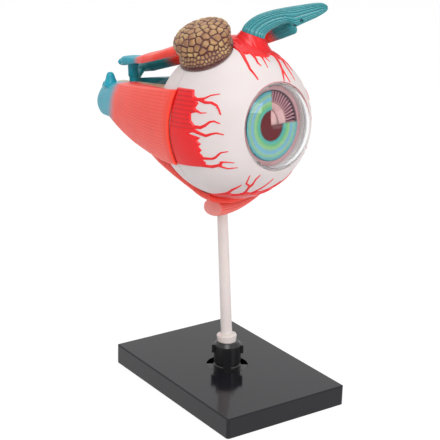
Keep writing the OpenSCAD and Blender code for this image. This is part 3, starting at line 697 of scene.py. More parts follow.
class EYE_OT_insertions(bpy.types.Operator):
    """Red tendon ends and vessels on the front shell"""
    bl_idname = "eye.insertions"
    bl_label = "Insertions"

    def execute(self, context):
        red = Finish("tendon_red", rough=0.3, coat=0.05, **{"Specular IOR Level": 0.35})
        base = red.mottled(tuple(colours().insertion), 150, 0.08)
        # Painted shade: the grooves and hollows of the relief are darkened towards C8161E
        tone = red.mix(red.value("deep"), base, linear("C8161E"))
        red.paint(tone).bump(red.noise(600), 0.05)
        sides = SIDE_FRONT + SIDE_FRINGE
        under = [(-3.4, 18.9), (2.6, 18.9), (2.6, -16.5), (-3.4, -16.5)]
        for name, side in (("lateral_insertion", -1), ("medial_insertion", 1)):
            self.make(name, sides, under, SIDE_VESSELS, (-26.5, 2.9), (-19, 20), side_lift(side),
                      self.side_ribs, red)
        under = [(-7.4, -1), (-7.4, 2.6), (15, 2.6), (15, -1)]
        self.make("superior_insertion", TOP_OUTLINE, under, TOP_VESSELS, (-11.5, 20.5), (-30.1, 2.9),
                  cap_lift(1), self.top_root, red)
        under = [(-16, -1), (-16, 2.6), (16, 2.6), (16, -1)]
        self.make("inferior_insertion", LOW_OUTLINE, under, LOW_VESSELS, (-19, 19), (-30, 2.9),
                  cap_lift(-1), self.low_streaks, red)
        return {"FINISHED"}

    def make(self, name, outline, under, vessels, span_u, span_v, lift, shape, red):
        top, low, deep = relief_patch(outline, under, vessels, span_u, span_v, lift, shape)
        piece = Piece(name)
        # one closed skin: the upper grid and the lower grid share their rim
        piece.grid(np.concatenate([top, low[::-1]], 0), wrap_u=True, wrap_v=False,
                   deep=np.concatenate([deep, 0 * deep], 0))
        piece.build("globe_front", "tendon_red", red.material, [name], sharp=60)

    def side_ribs(self, u, v, patch, radius):
        """Level bands over the upper half, 1.95 mm apart, with narrow grooves between them."""
        pitch = 1.95
        groove = 1 - np.abs(np.sin(math.pi * (v - 2.2 - 0.04 * u) / pitch)) ** 0.45
        groove = groove * smooth(v, 1.0, 2.2) * smooth(patch, 0.2, 0.9)
        # the second value is painted shade in the grooves
        return radius - 0.3 * groove, np.clip(1.4 * groove, 0, 1)

    def top_root(self, u, v, patch, radius):
        """Fine ridges along the tendon, a root on a sphere of 40.4 mm round a centre 6.9 mm further back, and
        a foot under the bar: flat on the slanted seat inside an ellipse, and flared outside it."""
        ridge = (0.5 + 0.5 * np.cos(u * 4.2 + 0.25 * v)) * smooth(patch, 0.4, 1.4)
        radius = radius - 0.14 * ridge
        height = np.sqrt(np.maximum(ROOT_R ** 2 - u ** 2 - (v - ROOT_BACK) ** 2, 0))
        root = np.sqrt(u ** 2 + v ** 2 + height ** 2)
        swollen = smooth(distance_to_outline(u, v, ROOT_OUTLINE), -0.3, 2.2)
        radius = radius + swollen * np.maximum(root - radius, 0)
        s = (u - BAR_FOOT[0]) * BAR_ALONG[0] + (v - BAR_FOOT[1]) * BAR_ALONG[1]
        p = (v - BAR_FOOT[1]) * BAR_ALONG[0] - (u - BAR_FOOT[0]) * BAR_ALONG[1]
        seat = SEAT_Z - math.tan(SEAT_TILT) * (s - SEAT_S)
        out = np.clip((np.hypot((s + 0.4) / 5.6, p / 4.2) - 1) / 0.72, 0, 1)
        foot = np.sqrt(u ** 2 + v ** 2 + seat ** 2)
        raised = np.maximum(foot - radius, 0)
        over = 0.07 * ridge * smooth(raised, 0.1, 0.6) * smooth(out, 0.02, 0.2)
        # the second value is painted shade in the hollows between the ridges, less on the bar's foot
        return radius + raised * (1 - out) ** 1.9 - over, ridge * (0.75 - 0.4 * smooth(raised, 0.1, 0.6))

    def low_streaks(self, u, v, patch, radius):
        """Slanted streaks, a cosine across the tendon."""
        streak = (0.5 + 0.5 * np.cos(u * 3.4 - 0.5 * v)) * smooth(patch, 0.3, 1.3)
        # the second value is painted shade in the hollows between the streaks
        return radius - 0.16 * streak, 0.6 * streak


# ---- Muscles ----


def wall_radius(y, r, tip, bow):
    """A wall's distance from the gaze axis: on a circle of radius r round the globe's centre until the line
    to the tip (radius, y) leaves it, then along that line, bowed out by a half sine."""
    tip_r, tip_y = tip
    touch = math.atan2(tip_y, tip_r) - math.acos(r / math.hypot(tip_r, tip_y))
    r0, y0 = r * math.cos(touch), r * math.sin(touch)
    t = np.clip((y - y0) / (tip_y - y0), 0, 1)
    line = r0 + (tip_r - r0) * (y - y0) / (tip_y - y0) + bow * np.sin(math.pi * t)
    return np.where(y < y0, np.sqrt(np.maximum(r * r - y * y, 0)), line)


@dataclass
class Belly:
    """A strap of muscle in the globe's frame. Across, it runs from low(y) to high(y); along, from front(h) to
    rear(h), where h is the share of its width. The wall lies between two radii, outer(y) and inner(y), in the
    direction radial, and keeps at least flat from the middle. Its thickness falls to nothing at all four
    edges on a superellipse, which rounds them: square is its power across, and round_rear its share of the
    length. lines is the number of fine grooves along it."""
    low: Callable
    high: Callable
    front: Callable
    rear: Callable
    outer: Callable
    inner: Callable
    radial: np.ndarray
    across: np.ndarray
    lines: int
    flat: float = 0.0
    round_rear: float = 0.06
    square: float = 40

    def shape(self):
        """The skin's points, how much painted shade each gets (by its depth in a groove, and 0.9 on the
        underside), and its y.
        """
        h = edge_steps(self.lines * 8)
        s = np.concatenate([[0, 0.0006, 0.002, 0.005], np.linspace(0.01, 0.9, 110),
                            0.9 + 0.1 * np.sin(np.linspace(0.03, 1, 26) * math.pi / 2)])
        ss, hh = np.meshgrid(s, h, indexing="ij")
        y = self.front(hh) + ss * (self.rear(hh) - self.front(hh))
        a = self.low(y) + (self.high(y) - self.low(y)) * hh
        side = (1 - np.abs(2 * hh - 1) ** self.square) ** 0.4
        front = (1 - np.clip(1 - ss / 0.01, 0, 1) ** 3) ** (1 / 3)
        rear = (1 - np.clip((ss - 1 + self.round_rear) / self.round_rear, 0, 1) ** 2.2) ** (1 / 2.2)
        thick = side * front * rear
        under = (1 - np.abs(2 * hh - 1) ** 160) ** 0.4 * front * rear
        line = 1 - np.abs(np.sin(math.pi * hh * self.lines)) ** 0.4
        cut = line * smooth(ss, 0.035, 0.05) * smooth(thick, 0.6, 0.95)
        cross = 1.1 * np.exp(-((y - self.front(hh) - 2.1) / 0.32) ** 2) * smooth(side, 0.5, 0.9)
        cut = np.maximum(cut, cross)
        mid, half = (self.outer(y) + self.inner(y)) / 2, (self.outer(y) - self.inner(y)) / 2
        grids = []
        for radius in (mid + half * thick - length("groove") * cut, mid - half * under):
            out = np.sqrt(np.maximum(radius ** 2 - a ** 2, self.flat ** 2))
            grids.append(out[..., None] * self.radial + a[..., None] * self.across + y[..., None] * Y)
        points = np.concatenate([grids[0], grids[1][::-1]], 0)
        # The underside is darkened all over, as painted shade under the muscle, and the grooves by their
        # depth
        return points, np.concatenate([cut, 0 * cut + 0.9], 0), np.concatenate([y, y[::-1]], 0)


def level(*pairs):
    """The values at y on straight lines between (y, value) pairs."""
    ys, vs = np.array(pairs, float).T
    return lambda y: np.interp(y, ys, vs)


def muscle_finish(name, base, groove, tip):
    """Colour by two attributes: base, darkened towards groove by the painted shade of the grooves and the
    underside, and tip where the attribute tip is over a half, with a soft wandering border. The tip's colour
    takes half that painted shade."""
    skin = Finish(name, rough=0.34,
                  **{"Subsurface Weight": 0.06, "Subsurface Scale": 0.002, "Specular IOR Level": 0.26})
    deep = skin.math("MULTIPLY", skin.value("deep"), 0.85, True)
    body = skin.mix(deep, skin.mottled(base, 70, 0.05), groove)
    wander = skin.math("MULTIPLY", skin.math("SUBTRACT", skin.noise(90, 2.0), 0.5), 0.35)
    spot = skin.math("ADD", skin.value("tip"), wander)
    fade = skin.node("MapRange", {"interpolation_type": "SMOOTHSTEP"}, Value=spot).outputs["Result"]
    # painted shade on the tip's colour as well, half as strong, towards dark teal
    end = skin.mix(skin.math("MULTIPLY", deep, 0.5), skin.mottled(tip, 90, 0.1), linear("237A8C"))
    skin.paint(skin.mix(fade, body, end))
    return skin.bump(skin.noise(500), 0.06).uneven(120, 0.26, 0.38)


def swell(centre, radii):
    """A closed ellipsoid round a centre."""
    v, u = np.meshgrid(np.linspace(0, math.pi, 24), np.linspace(0, 2 * math.pi, 48, endpoint=False),
                       indexing="ij")
    ray = np.stack([np.sin(v) * np.cos(u), np.sin(v) * np.sin(u), np.cos(v)], -1)
    return np.asarray(centre) + ray * radii


def peg(centre, axis, r, tall):
    """A round peg from centre along axis, with a bevelled end."""
    axis = np.asarray(axis, float)
    side = np.cross(axis, [0.3, 0.5, 0.8])
    side /= np.linalg.norm(side)
    other = np.cross(axis, side)
    profile = np.array([[0, 0], [r, 0], [r, tall - 0.4], [r - 0.35, tall], [0, tall]])
    angle = np.linspace(0, 2 * math.pi, 48, endpoint=False)
    ring = np.cos(angle)[:, None] * side + np.sin(angle)[:, None] * other
    return np.asarray(centre) + profile[:, 0, None, None] * ring + profile[:, 1, None, None] * axis


class EYE_OT_straight_muscles(bpy.types.Operator):
    """Lateral, medial, superior and inferior rectus"""
    bl_idname = "eye.straight_muscles"
    bl_label = "Straight muscles"

    def execute(self, context):
        c = colours()
        skin = muscle_finish("muscle_coral", tuple(c.muscle), tuple(c.muscle_shade), tuple(c.teal))
        self.side("lateral_rectus", -1, skin)
        self.side("medial_rectus", 1, skin)
        self.superior(skin)
        self.inferior(skin)
        return {"FINISHED"}

    def finish_piece(self, name, belly, tip, skin, extras):
        """The belly and the skins set on it; its colour changes between the two y of tip."""
        points, deep, y = belly.shape()
        piece = Piece(name)
        piece.grid(points, wrap_u=True, wrap_v=False, deep=deep, tip=smooth(y, *tip))
        for extra in extras:
            piece.grid(extra, tip=smooth(extra[..., 1], *tip))
        piece.build(name, "muscle_coral", skin.material, [name], sharp=50)

    def side(self, name, side, skin):
        """A strap beside the globe with a rear peg and one for the globe; the outer one also has a knob."""
        belly = Belly(
            low=level((0, -16.9), (17, -17), (30, -15.6), (45, -12.6), (55, -9.6), (66, -5.4), (72, -3),
                      (80, -3.1), (86, -2.8), (90, -2.1), (94, -0.4)),
            high=level((-3, 18.6), (10, 17.5), (40, 15.9), (76, 13.6), (84, 12.9), (94, 12.2)),
            front=side_front,
            rear=lambda h: 94.1 - np.where(h > 0.5, 2.2, 8) * np.abs(2 * h - 1) ** 3,
            outer=lambda y: wall_radius(y, SIDE_OUT, (13.5, 95), 1.5),
            inner=lambda y: wall_radius(y, BELLY_IN, (7, 95), -1.2),
            radial=side * X, across=Z, lines=sizes().muscle_lines, flat=8.8)
        pegs = [peg((side * 4.3, 84, NERVE_Z - 1), side * X, PEG_R, 5),
                peg((side * 34.9, 9, 1), side * X, PEG_R, 2)]
        if side < 0:
            knob = lathe([[0, 11], [3.8, 11], [3.6, 12.4], [3.1, 13.6], [2.6, 14.6], [2.3, 15.8],
                          [1.95, 16.9], [1.5, 17.7], [0.8, 18.1], [0, 18.2]], 48)
            pegs.append(upright(knob, -11.2, 82.4))
        self.finish_piece(name, belly, (60, 77) if side < 0 else (50, 60), skin, pegs)

    def superior(self, skin):
        """A strap over the globe with a stepped rear post, a peg for the globe and a rounded rear bump."""
        belly = Belly(
            low=level((0, -7.8), (14, -11.3), (26, -13), (45, -12.2), (58, -9.6), (67, -6.4), (80, -4.8),
                      (87, -4.2)),
            high=level((0, 15.2), (12, 14), (24, 12), (42, 9), (66, 5.5), (80, 4.8), (87, 4.2)),
            front=lambda h: 0.35 + 0 * h,
            rear=lambda h: 87 - 6 * np.abs(2 * h - 1) ** 2.4,
            outer=lambda y: (wall_radius(y, BAND_OUT, (24.6, 87), 0.8) - 1.7 * np.exp(-((y - 69) / 9) ** 2)
                             - 1.6 * np.exp(-((y - 51) / 15) ** 2)),
            inner=lambda y: wall_radius(y, BELLY_IN, (19.9, 88), 0.6) - 0.8 * np.exp(-((y - 60) / 17) ** 2),
            radial=Z, across=X, lines=12, round_rear=0.05, square=18)
        pegs = [peg((0, 77.5, 22), -Z, 2.8, 7), peg((0, 77.5, 22), -Z, 2.3, 15.7),
                peg((3.5, 9, 37.5), -Z, PEG_R, 3.2), swell((0, 84.6, 22.3), (4, 2.5, 2.1))]
        self.finish_piece("superior_rectus", belly, (60, 72), skin, pegs)

    def inferior(self, skin):
        """A strap under the globe with a rear peg."""
        belly = Belly(
            low=level((0, -16.3), (12, -15.4), (30, -14), (45, -12.4), (64, -8), (76, -5)),
            high=level((0, 16.3), (12, 15.4), (30, 14), (45, 12.4), (64, 8), (76, 5)),
            front=lambda h: 0.35 + 0 * h,
            rear=lambda h: 79 - 5 * np.abs(2 * h - 1) ** 2.4,
            outer=lambda y: wall_radius(y, BAND_OUT, (10.5, 80), 2),
            inner=lambda y: wall_radius(y, BELLY_IN, (4.2, 80), 1),
            radial=-Z, across=X, lines=16, flat=3.5)
        self.finish_piece("inferior_rectus", belly, (60, 72), skin, [peg((0, 72, -8), Z, PEG_R, 8.6)])


# ---- Swept pieces ----


def bezier(a, b, c, d, n):
    """n points on the cubic curve a(1-t)^3 + 3b t(1-t)^2 + 3c t^2(1-t) + d t^3."""
    t = np.linspace(0, 1, n)[:, None]
    a, b, c, d = (np.asarray(p, float) for p in (a, b, c, d))
    return a * (1 - t) ** 3 + 3 * b * t * (1 - t) ** 2 + 3 * c * t ** 2 * (1 - t) + d * t ** 3


def ribbed(angle, count, depth):
    """How far a section dips at an angle: narrow grooves, down to depth, between count round ribs."""
    return depth * (1 - np.abs(np.sin(count * angle / 2)) ** 0.5)


def closed(rings):
    """The rings with a point, repeated, at the middle of each end ring."""
    ends = [np.broadcast_to(rings[k].mean(0), (1, *rings.shape[1:])) for k in (0, -1)]
    return np.concatenate([ends[0], rings, ends[1]], 0)


def superellipse(angle, power=0.7):
    """Cosine and sine of the angle, each raised to a power under 1, which squares the circle a little."""
    c, s = np.cos(angle), np.sin(angle)
    return np.sign(c) * np.abs(c) ** power, np.sign(s) * np.abs(s) ** power


def strap(path, width, height, up, ribs, rib, end, pinch=0.3, power=0.7):
    """Carries a superellipse along a path. The section dips between its ribs, and shrinks on a steep curve
    over the share end of the length at both ends, by the share pinch, which rounds their edges. Gives rings
    and their dips, from 0 to 1."""
    n, sides = len(path), 192
    along = np.gradient(path, axis=0)
    along /= np.linalg.norm(along, axis=1)[:, None]
    across = np.cross(along, np.broadcast_to(up, along.shape))
    across /= np.linalg.norm(across, axis=1)[:, None]
    top = np.cross(across, along)
    t = np.linspace(0, 1, n)
    shrink = 1 - pinch * np.clip(1 - np.minimum(t, 1 - t) / end, 0, 1) ** 3
    angle = np.linspace(0, 2 * math.pi, sides, endpoint=False)
    x, z = superellipse(angle, power)
    dip = ribbed(angle, ribs, rib)
    w = (np.broadcast_to(width, n)[:, None] / 2 - dip) * shrink[:, None] * x
    h = (np.broadcast_to(height, n)[:, None] / 2 - dip) * shrink[:, None] * z
    rings = path[:, None] + w[..., None] * across[:, None] + h[..., None] * top[:, None]
    return rings, np.broadcast_to(dip / rib, (n, sides))


def fine(values, steps, blur):
    """Values at knots, filled in with straight lines and then smoothed by a running mean blur samples wide,
    which keeps both end values."""
    values = np.asarray(values, float)
    knots = np.arange(len(values))
    line = np.interp(np.linspace(0, len(values) - 1, steps * (len(values) - 1) + 1), knots, values)
    pad = blur // 2
    wide = np.concatenate([2 * line[0] - line[pad:0:-1], line, 2 * line[-1] - line[-2:-pad - 2:-1]])
    return np.convolve(wide, np.ones(2 * pad + 1) / (2 * pad + 1), "valid")


# The bar's side view, from foot to tip: lower point (along, up), upper point and thickness
BAR_RINGS = [
    ((4.9, 38.1), (-5.7, 42.22), 8), ((5.1, 39.2), (-5.3, 43.6), 7.8), ((5.9, 40.4), (-3.9, 45.3), 7.5),
    ((7.1, 41.5), (-1.7, 47.1), 7.4), ((8.7, 42.6), (0.8, 48.6), 7.2), ((10.5, 43.5), (3.6, 49.7), 7),
    ((12.4, 44.4), (6.6, 50.5), 6.9), ((14.4, 44.8), (9.7, 51.2), 6.7), ((16.3, 44.9), (12.8, 51.7), 6.5),
    ((17.7, 44), (15.6, 52.1), 6.3), ((19.6, 42.9), (18.6, 52.5), 6.2), ((21.6, 43.8), (21.3, 52.8), 6),
    ((25, 45.2), (24.3, 53.2), 5.7), ((29, 46.8), (28.2, 53.6), 5.2), ((32.2, 48.5), (31.6, 53.6), 4.7),
    ((33.8, 49.6), (33.2, 53), 3.8), ((34.4, 50.6), (34.2, 52.1), 2.4)]
BAR_SLOT = ((18.6, 44.0), (20.0, 42.6), 0.42)   # ends of its line in the side view, and half its width
BAR_HOLE = ((22.0, 45.8), 0.72)                 # middle and radius
BAR_DRIFT = 0.4         # the bar drifts sideways by this times the square root of the way along it


class EYE_OT_oblique_muscles(bpy.types.Operator):
    """Superior oblique, inferior oblique with its boss, and the trochlea tendon"""
    bl_idname = "eye.oblique_muscles"
    bl_label = "Oblique muscles"

    def execute(self, context):
        self.inferior()
        self.superior()
        self.bar()
        return {"FINISHED"}

    def inferior(self):
        """A strap under the globe. Its upper side clears the globe's muscle by keeping 40.5 mm from the
        centre, and a bore for the rod is pushed up into its underside. A post for the globe stands on it."""
        path = bezier((-7.6, 9.5, -42.6), (2, 9.2, -44), (13, 6.5, -41.8), (21.5, 4, -35.3), 150)
        t = np.linspace(0, 1, len(path))
        rings, dip = strap(path, 13.9 - 4.9 * t, 1.8 + 6 * (1 - t * t) ** 2, Z, 26, 0.22, 0.02, 0.1, 0.88)
        far = np.linalg.norm(rings, axis=-1)
        rings = rings * np.maximum(1, (GLOBE_R + 4) / far)[..., None]
        off = np.hypot(rings[..., 0], rings[..., 1] - ROD_BEHIND)
        under = rings[..., 2] < ROD_TOP_Z - 1
        rings[..., 2] += np.where(under, (ROD_TOP_Z + 0.2 - rings[..., 2]) * (1 - smooth(off, 2.66, 2.8)), 0)
        c = colours()
        # Painted shade in the grooves, towards DC4A44, and painted light on the strap's end, the boss, as a
        # paler pink FFA099
        skin = muscle_finish("oblique_pink", tuple(c.pink), linear("DC4A44"), linear("FFA099"))
        end = smooth(t, 0.012, 0.004)[:, None] + 0 * dip
        piece = Piece("inferior_oblique")
        piece.grid(closed(rings), deep=np.pad(dip * smooth(t, 0.02, 0.05)[:, None], ((1, 1), (0, 0))),
                   tip=np.pad(end, ((1, 1), (0, 0)), mode="edge"))
        piece.grid(peg((0, ROD_BEHIND, ROD_TOP_Z + 1), Z, 2.98, 8.9))
        piece.build("inferior_oblique", "oblique_pink", skin.material, ["inferior_oblique"], sharp=50)

    def superior(self):
        """A ribbed strap beside the globe, thin at the rear and cut square in front."""
        path = bezier((11.4, 88.5, 17.2), (15, 61.5, 25), (18.3, 16, 30.6), (24, -16.6, 42.7), 150)
        t = np.linspace(0, 1, len(path))
        tip = np.minimum(1, 0.55 + 4 * t)
        rings, dip = strap(path, 7.4 * tip, (5.5 - 1.3 * t) * tip, (0.68, 0.2, 0.7), 18, 0.2, 0.012)
        c = colours()
        skin = muscle_finish("oblique_red", tuple(c.muscle), tuple(c.muscle_shade), tuple(c.teal_dark))
        rings = closed(rings)
        y = rings[..., 1]
        tint = np.maximum(smooth(y, 56, 68), smooth(y, -1, -10))
        piece = Piece("superior_oblique")
        # the ribs' grooves get painted shade
        piece.grid(rings, deep=np.pad(dip, ((1, 1), (0, 0))), tip=tint)
        # the rear peg points out of the nerve at 43 degrees from straight up
        turn = math.radians(43)
        out = math.sin(turn) * X + math.cos(turn) * Z
        piece.grid(peg(np.array([0, 84, NERVE_Z]) + 4 * out, out, 1.48, 14), tip=1.0)
        piece.build("superior_oblique", "muscle_coral", skin.material, ["superior_oblique"], sharp=50)

    def bar(self):
        """Ribbed rings between the lower and the upper edge of the side view. A slot and a round hole are
        pushed into the side that faces the front end of the superior oblique."""
        steps = 14
        low_s, low_z, high_s, high_z, thick = (
            fine(line, steps, blur) for line, blur in zip(
                zip(*[(*low, *high, size) for low, high, size in BAR_RINGS]), (7, 7, 21, 21, 21)))
        middle = np.stack([low_s + high_s, low_z + high_z], -1) / 2
        half = np.stack([high_s - low_s, high_z - low_z], -1) / 2
        half_length = np.linalg.norm(half, axis=-1)
        angle = np.linspace(0, 2 * math.pi, 288, endpoint=False)
        x, y = superellipse(angle)
        dip = ribbed(angle, sizes().bar_ribs, 0.4)
        reach = (1 - dip / half_length[:, None]) * x
        s = middle[:, :1] + half[:, :1] * reach
        z = middle[:, 1:] + half[:, 1:] * reach
        p = (thick[:, None] / 2 - dip) * y
        (start, stop, slot_r), ((hole_s, hole_z), hole_r) = BAR_SLOT, BAR_HOLE
        slot, hole = to_segment(s, z, start, stop)[0] - slot_r, np.hypot(s - hole_s, z - hole_z) - hole_r
        hole = smooth(np.minimum(slot, hole), 0.08, -0.08) * (y < -0.3)
        p = p + 0.9 * hole + BAR_DRIFT * np.sqrt(np.maximum(middle[:, :1], 0))
        along, side = np.array([*BAR_ALONG, 0]), np.array([-BAR_ALONG[1], BAR_ALONG[0], 0])
        foot = np.array([*BAR_FOOT, 0])
        rings = foot + s[..., None] * along + p[..., None] * side + z[..., None] * Z
        teal = Finish("tendon_teal", rough=0.28, coat=0.2)
        base = teal.mottled(tuple(colours().teal_dark), 120, 0.1)
        tone = teal.mix(teal.value("deep"), base, linear("23696F"))
        teal.paint(tone).bump(teal.noise(500), 0.05).uneven(150, 0.22, 0.34)
        # Painted shade: the grooves between the ribs, the slot and the hole are darkened towards 23696F
        deep = np.maximum(0.75 * dip / dip.max(), hole)
        piece = Piece("trochlea_tendon")
        piece.grid(closed(rings), deep=np.pad(deep, ((1, 1), (0, 0))))
        piece.build("globe_front", "tendon_teal", teal.material, ["trochlea_tendon"], sharp=50)


# ---- Gland ----


# The lump's rings: height, half length and half width
GLAND_RINGS = [(-1.5, 15, 11.9), (0.4, 15.2, 12.2), (2.4, 16, 13.1), (4.4, 15.2, 12.6), (5.6, 14.2, 12),
               (7.4, 14.4, 13.2), (9.8, 14.4, 13.8), (12.4, 13.4, 12.8), (14.4, 11, 10.2), (15.6, 7, 6.2),
               (16.1, 2, 2), (16.15, 0, 0)]
GLAND_WAIST = 5.6               # height over which its cobbles are larger
GLAND_FOOT = np.array([-13.6, 3.4, 29.8])
GLAND_TURN = math.radians(62)
GLAND_LEAN = turned(1, math.radians(-20)) @ turned(0, math.radians(-3))


class EYE_OT_gland(bpy.types.Operator):
    """Cobbled lacrimal gland"""
    bl_idname = "eye.gland"
    bl_label = "Gland"

    def execute(self, context):
        """Each cobble domes with the square root of the distance to its border, along the lump's normal."""
        h, a, b = (fine(line, 26, 31) for line in zip(*GLAND_RINGS))
        a, b = np.maximum(a, 0), np.maximum(b, 0)
        a[-1] = b[-1] = 0
        turn = np.linspace(0, 2 * math.pi, 340, endpoint=False)
        points = self.surface(h[:, None], a[:, None], b[:, None], turn)
        seeds = self.seeds(h, a, b)
        border, width = self.borders(points, seeds)
        upper = smooth(h, GLAND_WAIST - 1, GLAND_WAIST + 1.5)[:, None]
        dome = np.sqrt(np.clip(border / (0.42 * width), 0, 1))
        height = (0.5 + 0.4 * upper) * dome - 0.55
        height = height * smooth(h, 0.2, 1.2)[:, None] * smooth(a, 0.2, 2.0)[:, None]
        normal = np.cross(np.roll(points, -1, 1) - np.roll(points, 1, 1), np.gradient(points, axis=0))
        normal /= np.maximum(np.linalg.norm(normal, axis=-1), 1e-9)[..., None]
        points = self.seated(points + normal * height[..., None])
        joint = 1 - smooth(border / width, 0.05, 0.45 - 0.18 * upper)
        # Painted shade: the foot, where the lump meets the globe, is darkened almost to the joints' colour
        joint = np.maximum(joint, 0.85 * (1 - smooth(h, 1.2, 2.8)[:, None]))
        flat = self.seated(self.surface(h[:1, None], 0 * a[:1, None], 0 * b[:1, None], turn))
        piece = Piece("lacrimal_gland")
        piece.grid(np.concatenate([flat, points], 0), joint=np.pad(joint, ((1, 0), (0, 0)), mode="edge"))
        piece.build("lacrimal_gland", "gland_brown", self.finish(), ["lacrimal_gland"], sharp=70)
        return {"FINISHED"}

    def surface(self, h, a, b, turn):
        """An upright lump: at height h an ellipse with half axes a and b, whose middle drifts with h."""
        u, v = a * np.cos(turn), b * np.sin(turn)
        c, s = math.cos(GLAND_TURN), math.sin(GLAND_TURN)
        return np.stack([u * c - v * s + 0.27 * h + 0.8, u * s + v * c + 0.23 * h - 0.9, h + 0 * u], -1)

    def seated(self, points):
        """The upright lump's points, leaned and set on the eye with a small gap: those inside the globe move
        out from its centre, and those inside the superior muscle or its root move up."""
        gap = 0.35
        points = points @ GLAND_LEAN.T + GLAND_FOOT
        points = points * np.maximum(1, (GLOBE_R + gap + 0.01) / np.linalg.norm(points, axis=-1))[..., None]
        x, y, z = np.moveaxis(points, -1, 0)
        wall = wall_radius(y, BAND_OUT + gap, (24.95, 87), 0.8)
        over = np.sqrt(np.maximum(wall ** 2 - x ** 2, 0)) * (x > -12.3) * (y > -0.2)
        root = np.sqrt(np.maximum((ROOT_R + gap) ** 2 - x ** 2 - (y - ROOT_BACK) ** 2, 0))
        over = np.maximum(over, root * (x > -7.5) * (y <= 0.2))
        return np.stack([x, y, np.maximum(z, over)], -1)

    def seeds(self, h, a, b):
        """Middles of the cobbles: rows up the side, staggered and shaken, smaller below the waist."""
        rng = np.random.default_rng(5)
        climb = np.concatenate([[0], np.cumsum(np.hypot(np.diff(h), np.diff((a + b) / 2)))])
        waist = np.interp(GLAND_WAIST, h[:len(h) // 2], climb[:len(h) // 2])
        large = length("cobble")
        small = 0.56 * large
        levels = np.concatenate([np.arange(climb[0] + 1.6, waist - 0.6, small * 0.86),
                                 np.arange(waist + 1.2, climb[-1], large * 0.84)])
        seeds = []
        for row, spot in enumerate(levels):
            pitch = small if spot < waist else large
            row_a, row_b = np.interp(spot, climb, a), np.interp(spot, climb, b)
            count = max(1, round(math.pi * (row_a + row_b) / pitch))
            turn = np.arange(count) + 0.5 * (row % 2) + rng.uniform(-0.25, 0.25, count)
            turn = turn * 2 * math.pi / count
            shaken = spot + rng.uniform(-0.22, 0.22, count) * pitch
            at = [np.interp(shaken, climb, line) for line in (h, a, b)]
            seeds.append(np.concatenate([self.surface(*at, turn), np.full((count, 1), pitch)], 1))
        return np.concatenate(seeds)

    def borders(self, points, seeds):
        """For each point, the distance to the second nearest seed less that to the nearest, and the pitch."""
        flat = points.reshape(-1, 3)
        gap, width = np.empty(len(flat)), np.empty(len(flat))
        for start in range(0, len(flat), 8000):
            part = slice(start, start + 8000)
            far = np.linalg.norm(flat[part, None] - seeds[None, :, :3], axis=-1) / seeds[:, 3] ** 0.5
            order = np.argpartition(far, 1, axis=1)[:, :2]
            two = np.sort(np.take_along_axis(far, order, 1), axis=1)
            width[part] = seeds[np.argmin(far, 1), 3]
            gap[part] = (two[:, 1] - two[:, 0]) * width[part] ** 0.5
        return gap.reshape(points.shape[:2]), width.reshape(points.shape[:2])

    def finish(self):
        c = colours()
        brown = Finish("gland_brown", rough=0.4, coat=0.05)
        patch = brown.ramp(brown.noise(170, 3.0), (0.3, linear("84563A")), (0.5, tuple(c.gland)),
                           (0.7, linear("C4A36B")))
        brown.paint(brown.mix(brown.value("joint"), patch, tuple(c.gland_joint_and_shade)))
        return brown.bump(brown.noise(1100, 4.0), 0.35, 0.0003).uneven(200, 0.32, 0.5).material


# ---- Stage ----


def seen_plainly(tree):
    """1 on rays from the camera, off a mirror or through glass, and 0 on the others."""
    path = tree.nodes.new("ShaderNodeLightPath")
    either = path.outputs["Is Camera Ray"]
    for kind in ("Is Glossy Ray", "Is Transmission Ray"):
        top = tree.nodes.new("ShaderNodeMath")
        top.operation = "MAXIMUM"
        tree.links.new(either, top.inputs[0])
        tree.links.new(path.outputs[kind], top.inputs[1])
        either = top.outputs[0]
    return either


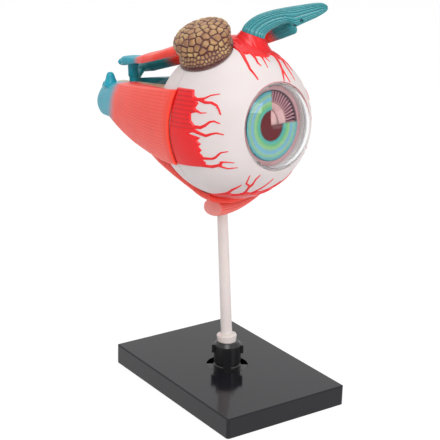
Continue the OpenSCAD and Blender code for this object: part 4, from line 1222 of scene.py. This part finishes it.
class EYE_OT_stage(bpy.types.Operator):
    """Floor, lights and camera"""
    bl_idname = "eye.stage"
    bl_label = "Stage"

    def execute(self, context):
        scene = context.scene
        scene.view_settings.view_transform = "Standard"
        self.floor()
        self.world(scene)
        self.lamp("key", (-0.56, -0.64, 1.1), 0.55, 6.2)
        self.lamp("fill", (0.25, -1.1, 0.5), 0.7, 3.8)
        self.lamp("top", (0.1, 0.3, 1.2), 0.8, 3.4)
        self.camera(scene)
        return {"FINISHED"}

    def floor(self):
        """A white sheet that mostly glows where it is seen plainly, and is lit by the lamps as well."""
        mesh = bpy.data.meshes.new("floor")
        mesh.from_pydata([(-4, -4, 0), (4, -4, 0), (4, 4, 0), (-4, 4, 0)], [], [(0, 1, 2, 3)])
        plane = bpy.data.objects.new("floor", mesh)
        bpy.context.scene.collection.objects.link(plane)
        paper = Finish("floor_white", rough=0.9)
        paper.paint((0.9, 0.9, 0.9, 1))
        tree = paper.tree
        glow = tree.nodes.new("ShaderNodeEmission")
        mix = tree.nodes.new("ShaderNodeMixShader")
        tree.links.new(paper.math("MULTIPLY", seen_plainly(tree), 0.8), mix.inputs[0])
        glow.inputs["Strength"].default_value = 1.09
        tree.links.new(paper.shader.outputs[0], mix.inputs[1])
        tree.links.new(glow.outputs[0], mix.inputs[2])
        tree.links.new(mix.outputs[0], tree.nodes["Material Output"].inputs["Surface"])
        mesh.materials.append(paper.material)

    def world(self, scene):
        """White all round, at full strength where it is seen plainly, and about half as a light."""
        world = bpy.data.worlds.new("studio")
        scene.world = world
        world.use_nodes = True
        tree = world.node_tree
        back = tree.nodes["Background"]
        back.inputs["Color"].default_value = (1, 1, 1, 1)
        strength = tree.nodes.new("ShaderNodeMapRange")
        strength.inputs["To Min"].default_value = 0.52
        tree.links.new(seen_plainly(tree), strength.inputs["Value"])
        tree.links.new(strength.outputs["Result"], back.inputs["Strength"])

    def lamp(self, name, place, size, power):
        """A square lamp, size metres wide, that faces the middle of the model."""
        light = bpy.data.lights.new(name, "AREA")
        light.shape = "SQUARE"
        light.size = size
        light.energy = power
        obj = bpy.data.objects.new(name, light)
        bpy.context.scene.collection.objects.link(obj)
        aim = np.array([0, 0.01, 0.12])
        back = np.array(place) - aim
        back /= np.linalg.norm(back)
        right = np.cross([0, 0, 1], back)
        right /= np.linalg.norm(right)
        turn = np.stack([right, np.cross(back, right), back], 1)
        obj.matrix_world = Matrix.LocRotScale(place, Matrix(turn.tolist()), None)

    def camera(self, scene):
        """The photograph's view. Its focal length is in pixels, on a frame that is 440 pixels wide."""
        focal, frame_width, sensor = 1297.5, 440, 36
        data = bpy.data.cameras.new("camera")
        data.sensor_fit = "HORIZONTAL"
        data.sensor_width = sensor
        data.lens = focal * sensor / frame_width
        data.clip_start = 0.01
        obj = bpy.data.objects.new("camera", data)
        scene.collection.objects.link(obj)
        right, up, back = (0.8217, -0.5694, 0.0256), (0.1602, 0.2739, 0.9483), (-0.5470, -0.7751, 0.3162)
        turn = Matrix((right, up, back)).transposed()
        obj.matrix_world = Matrix.LocRotScale((-0.3471, -0.4823, 0.2840), turn, None)
        scene.camera = obj


# ---- Panel and registering ----

STEPS = ("stand", "globe", "front", "insertions", "straight_muscles", "oblique_muscles", "gland", "stage")


class EYE_PT_panel(bpy.types.Panel):
    """Lists the makers of the eye model's pieces"""
    bl_idname = "EYE_PT_panel"
    bl_label = "Eye Model"
    bl_space_type = "VIEW_3D"
    bl_region_type = "UI"
    bl_category = "Eye Model"

    def draw(self, context):
        for group in (context.scene.eye_sizes, context.scene.eye_colours):
            for name in group.__annotations__:
                self.layout.prop(group, name)
        for step in STEPS:
            self.layout.operator("eye." + step)


CLASSES = (EyeColours, EyeSizes, EYE_OT_stand, EYE_OT_globe, EYE_OT_front, EYE_OT_insertions,
           EYE_OT_straight_muscles, EYE_OT_oblique_muscles, EYE_OT_gland, EYE_OT_stage, EYE_PT_panel)


def register():
    for cls in CLASSES:
        bpy.utils.register_class(cls)
    bpy.types.Scene.eye_colours = PointerProperty(type=EyeColours)
    bpy.types.Scene.eye_sizes = PointerProperty(type=EyeSizes)


def unregister():
    del bpy.types.Scene.eye_sizes
    del bpy.types.Scene.eye_colours
    for cls in reversed(CLASSES):
        bpy.utils.unregister_class(cls)


def main():
    register()
    for step in STEPS:
        getattr(bpy.ops.eye, step)()


if __name__ == "__main__":
    main()
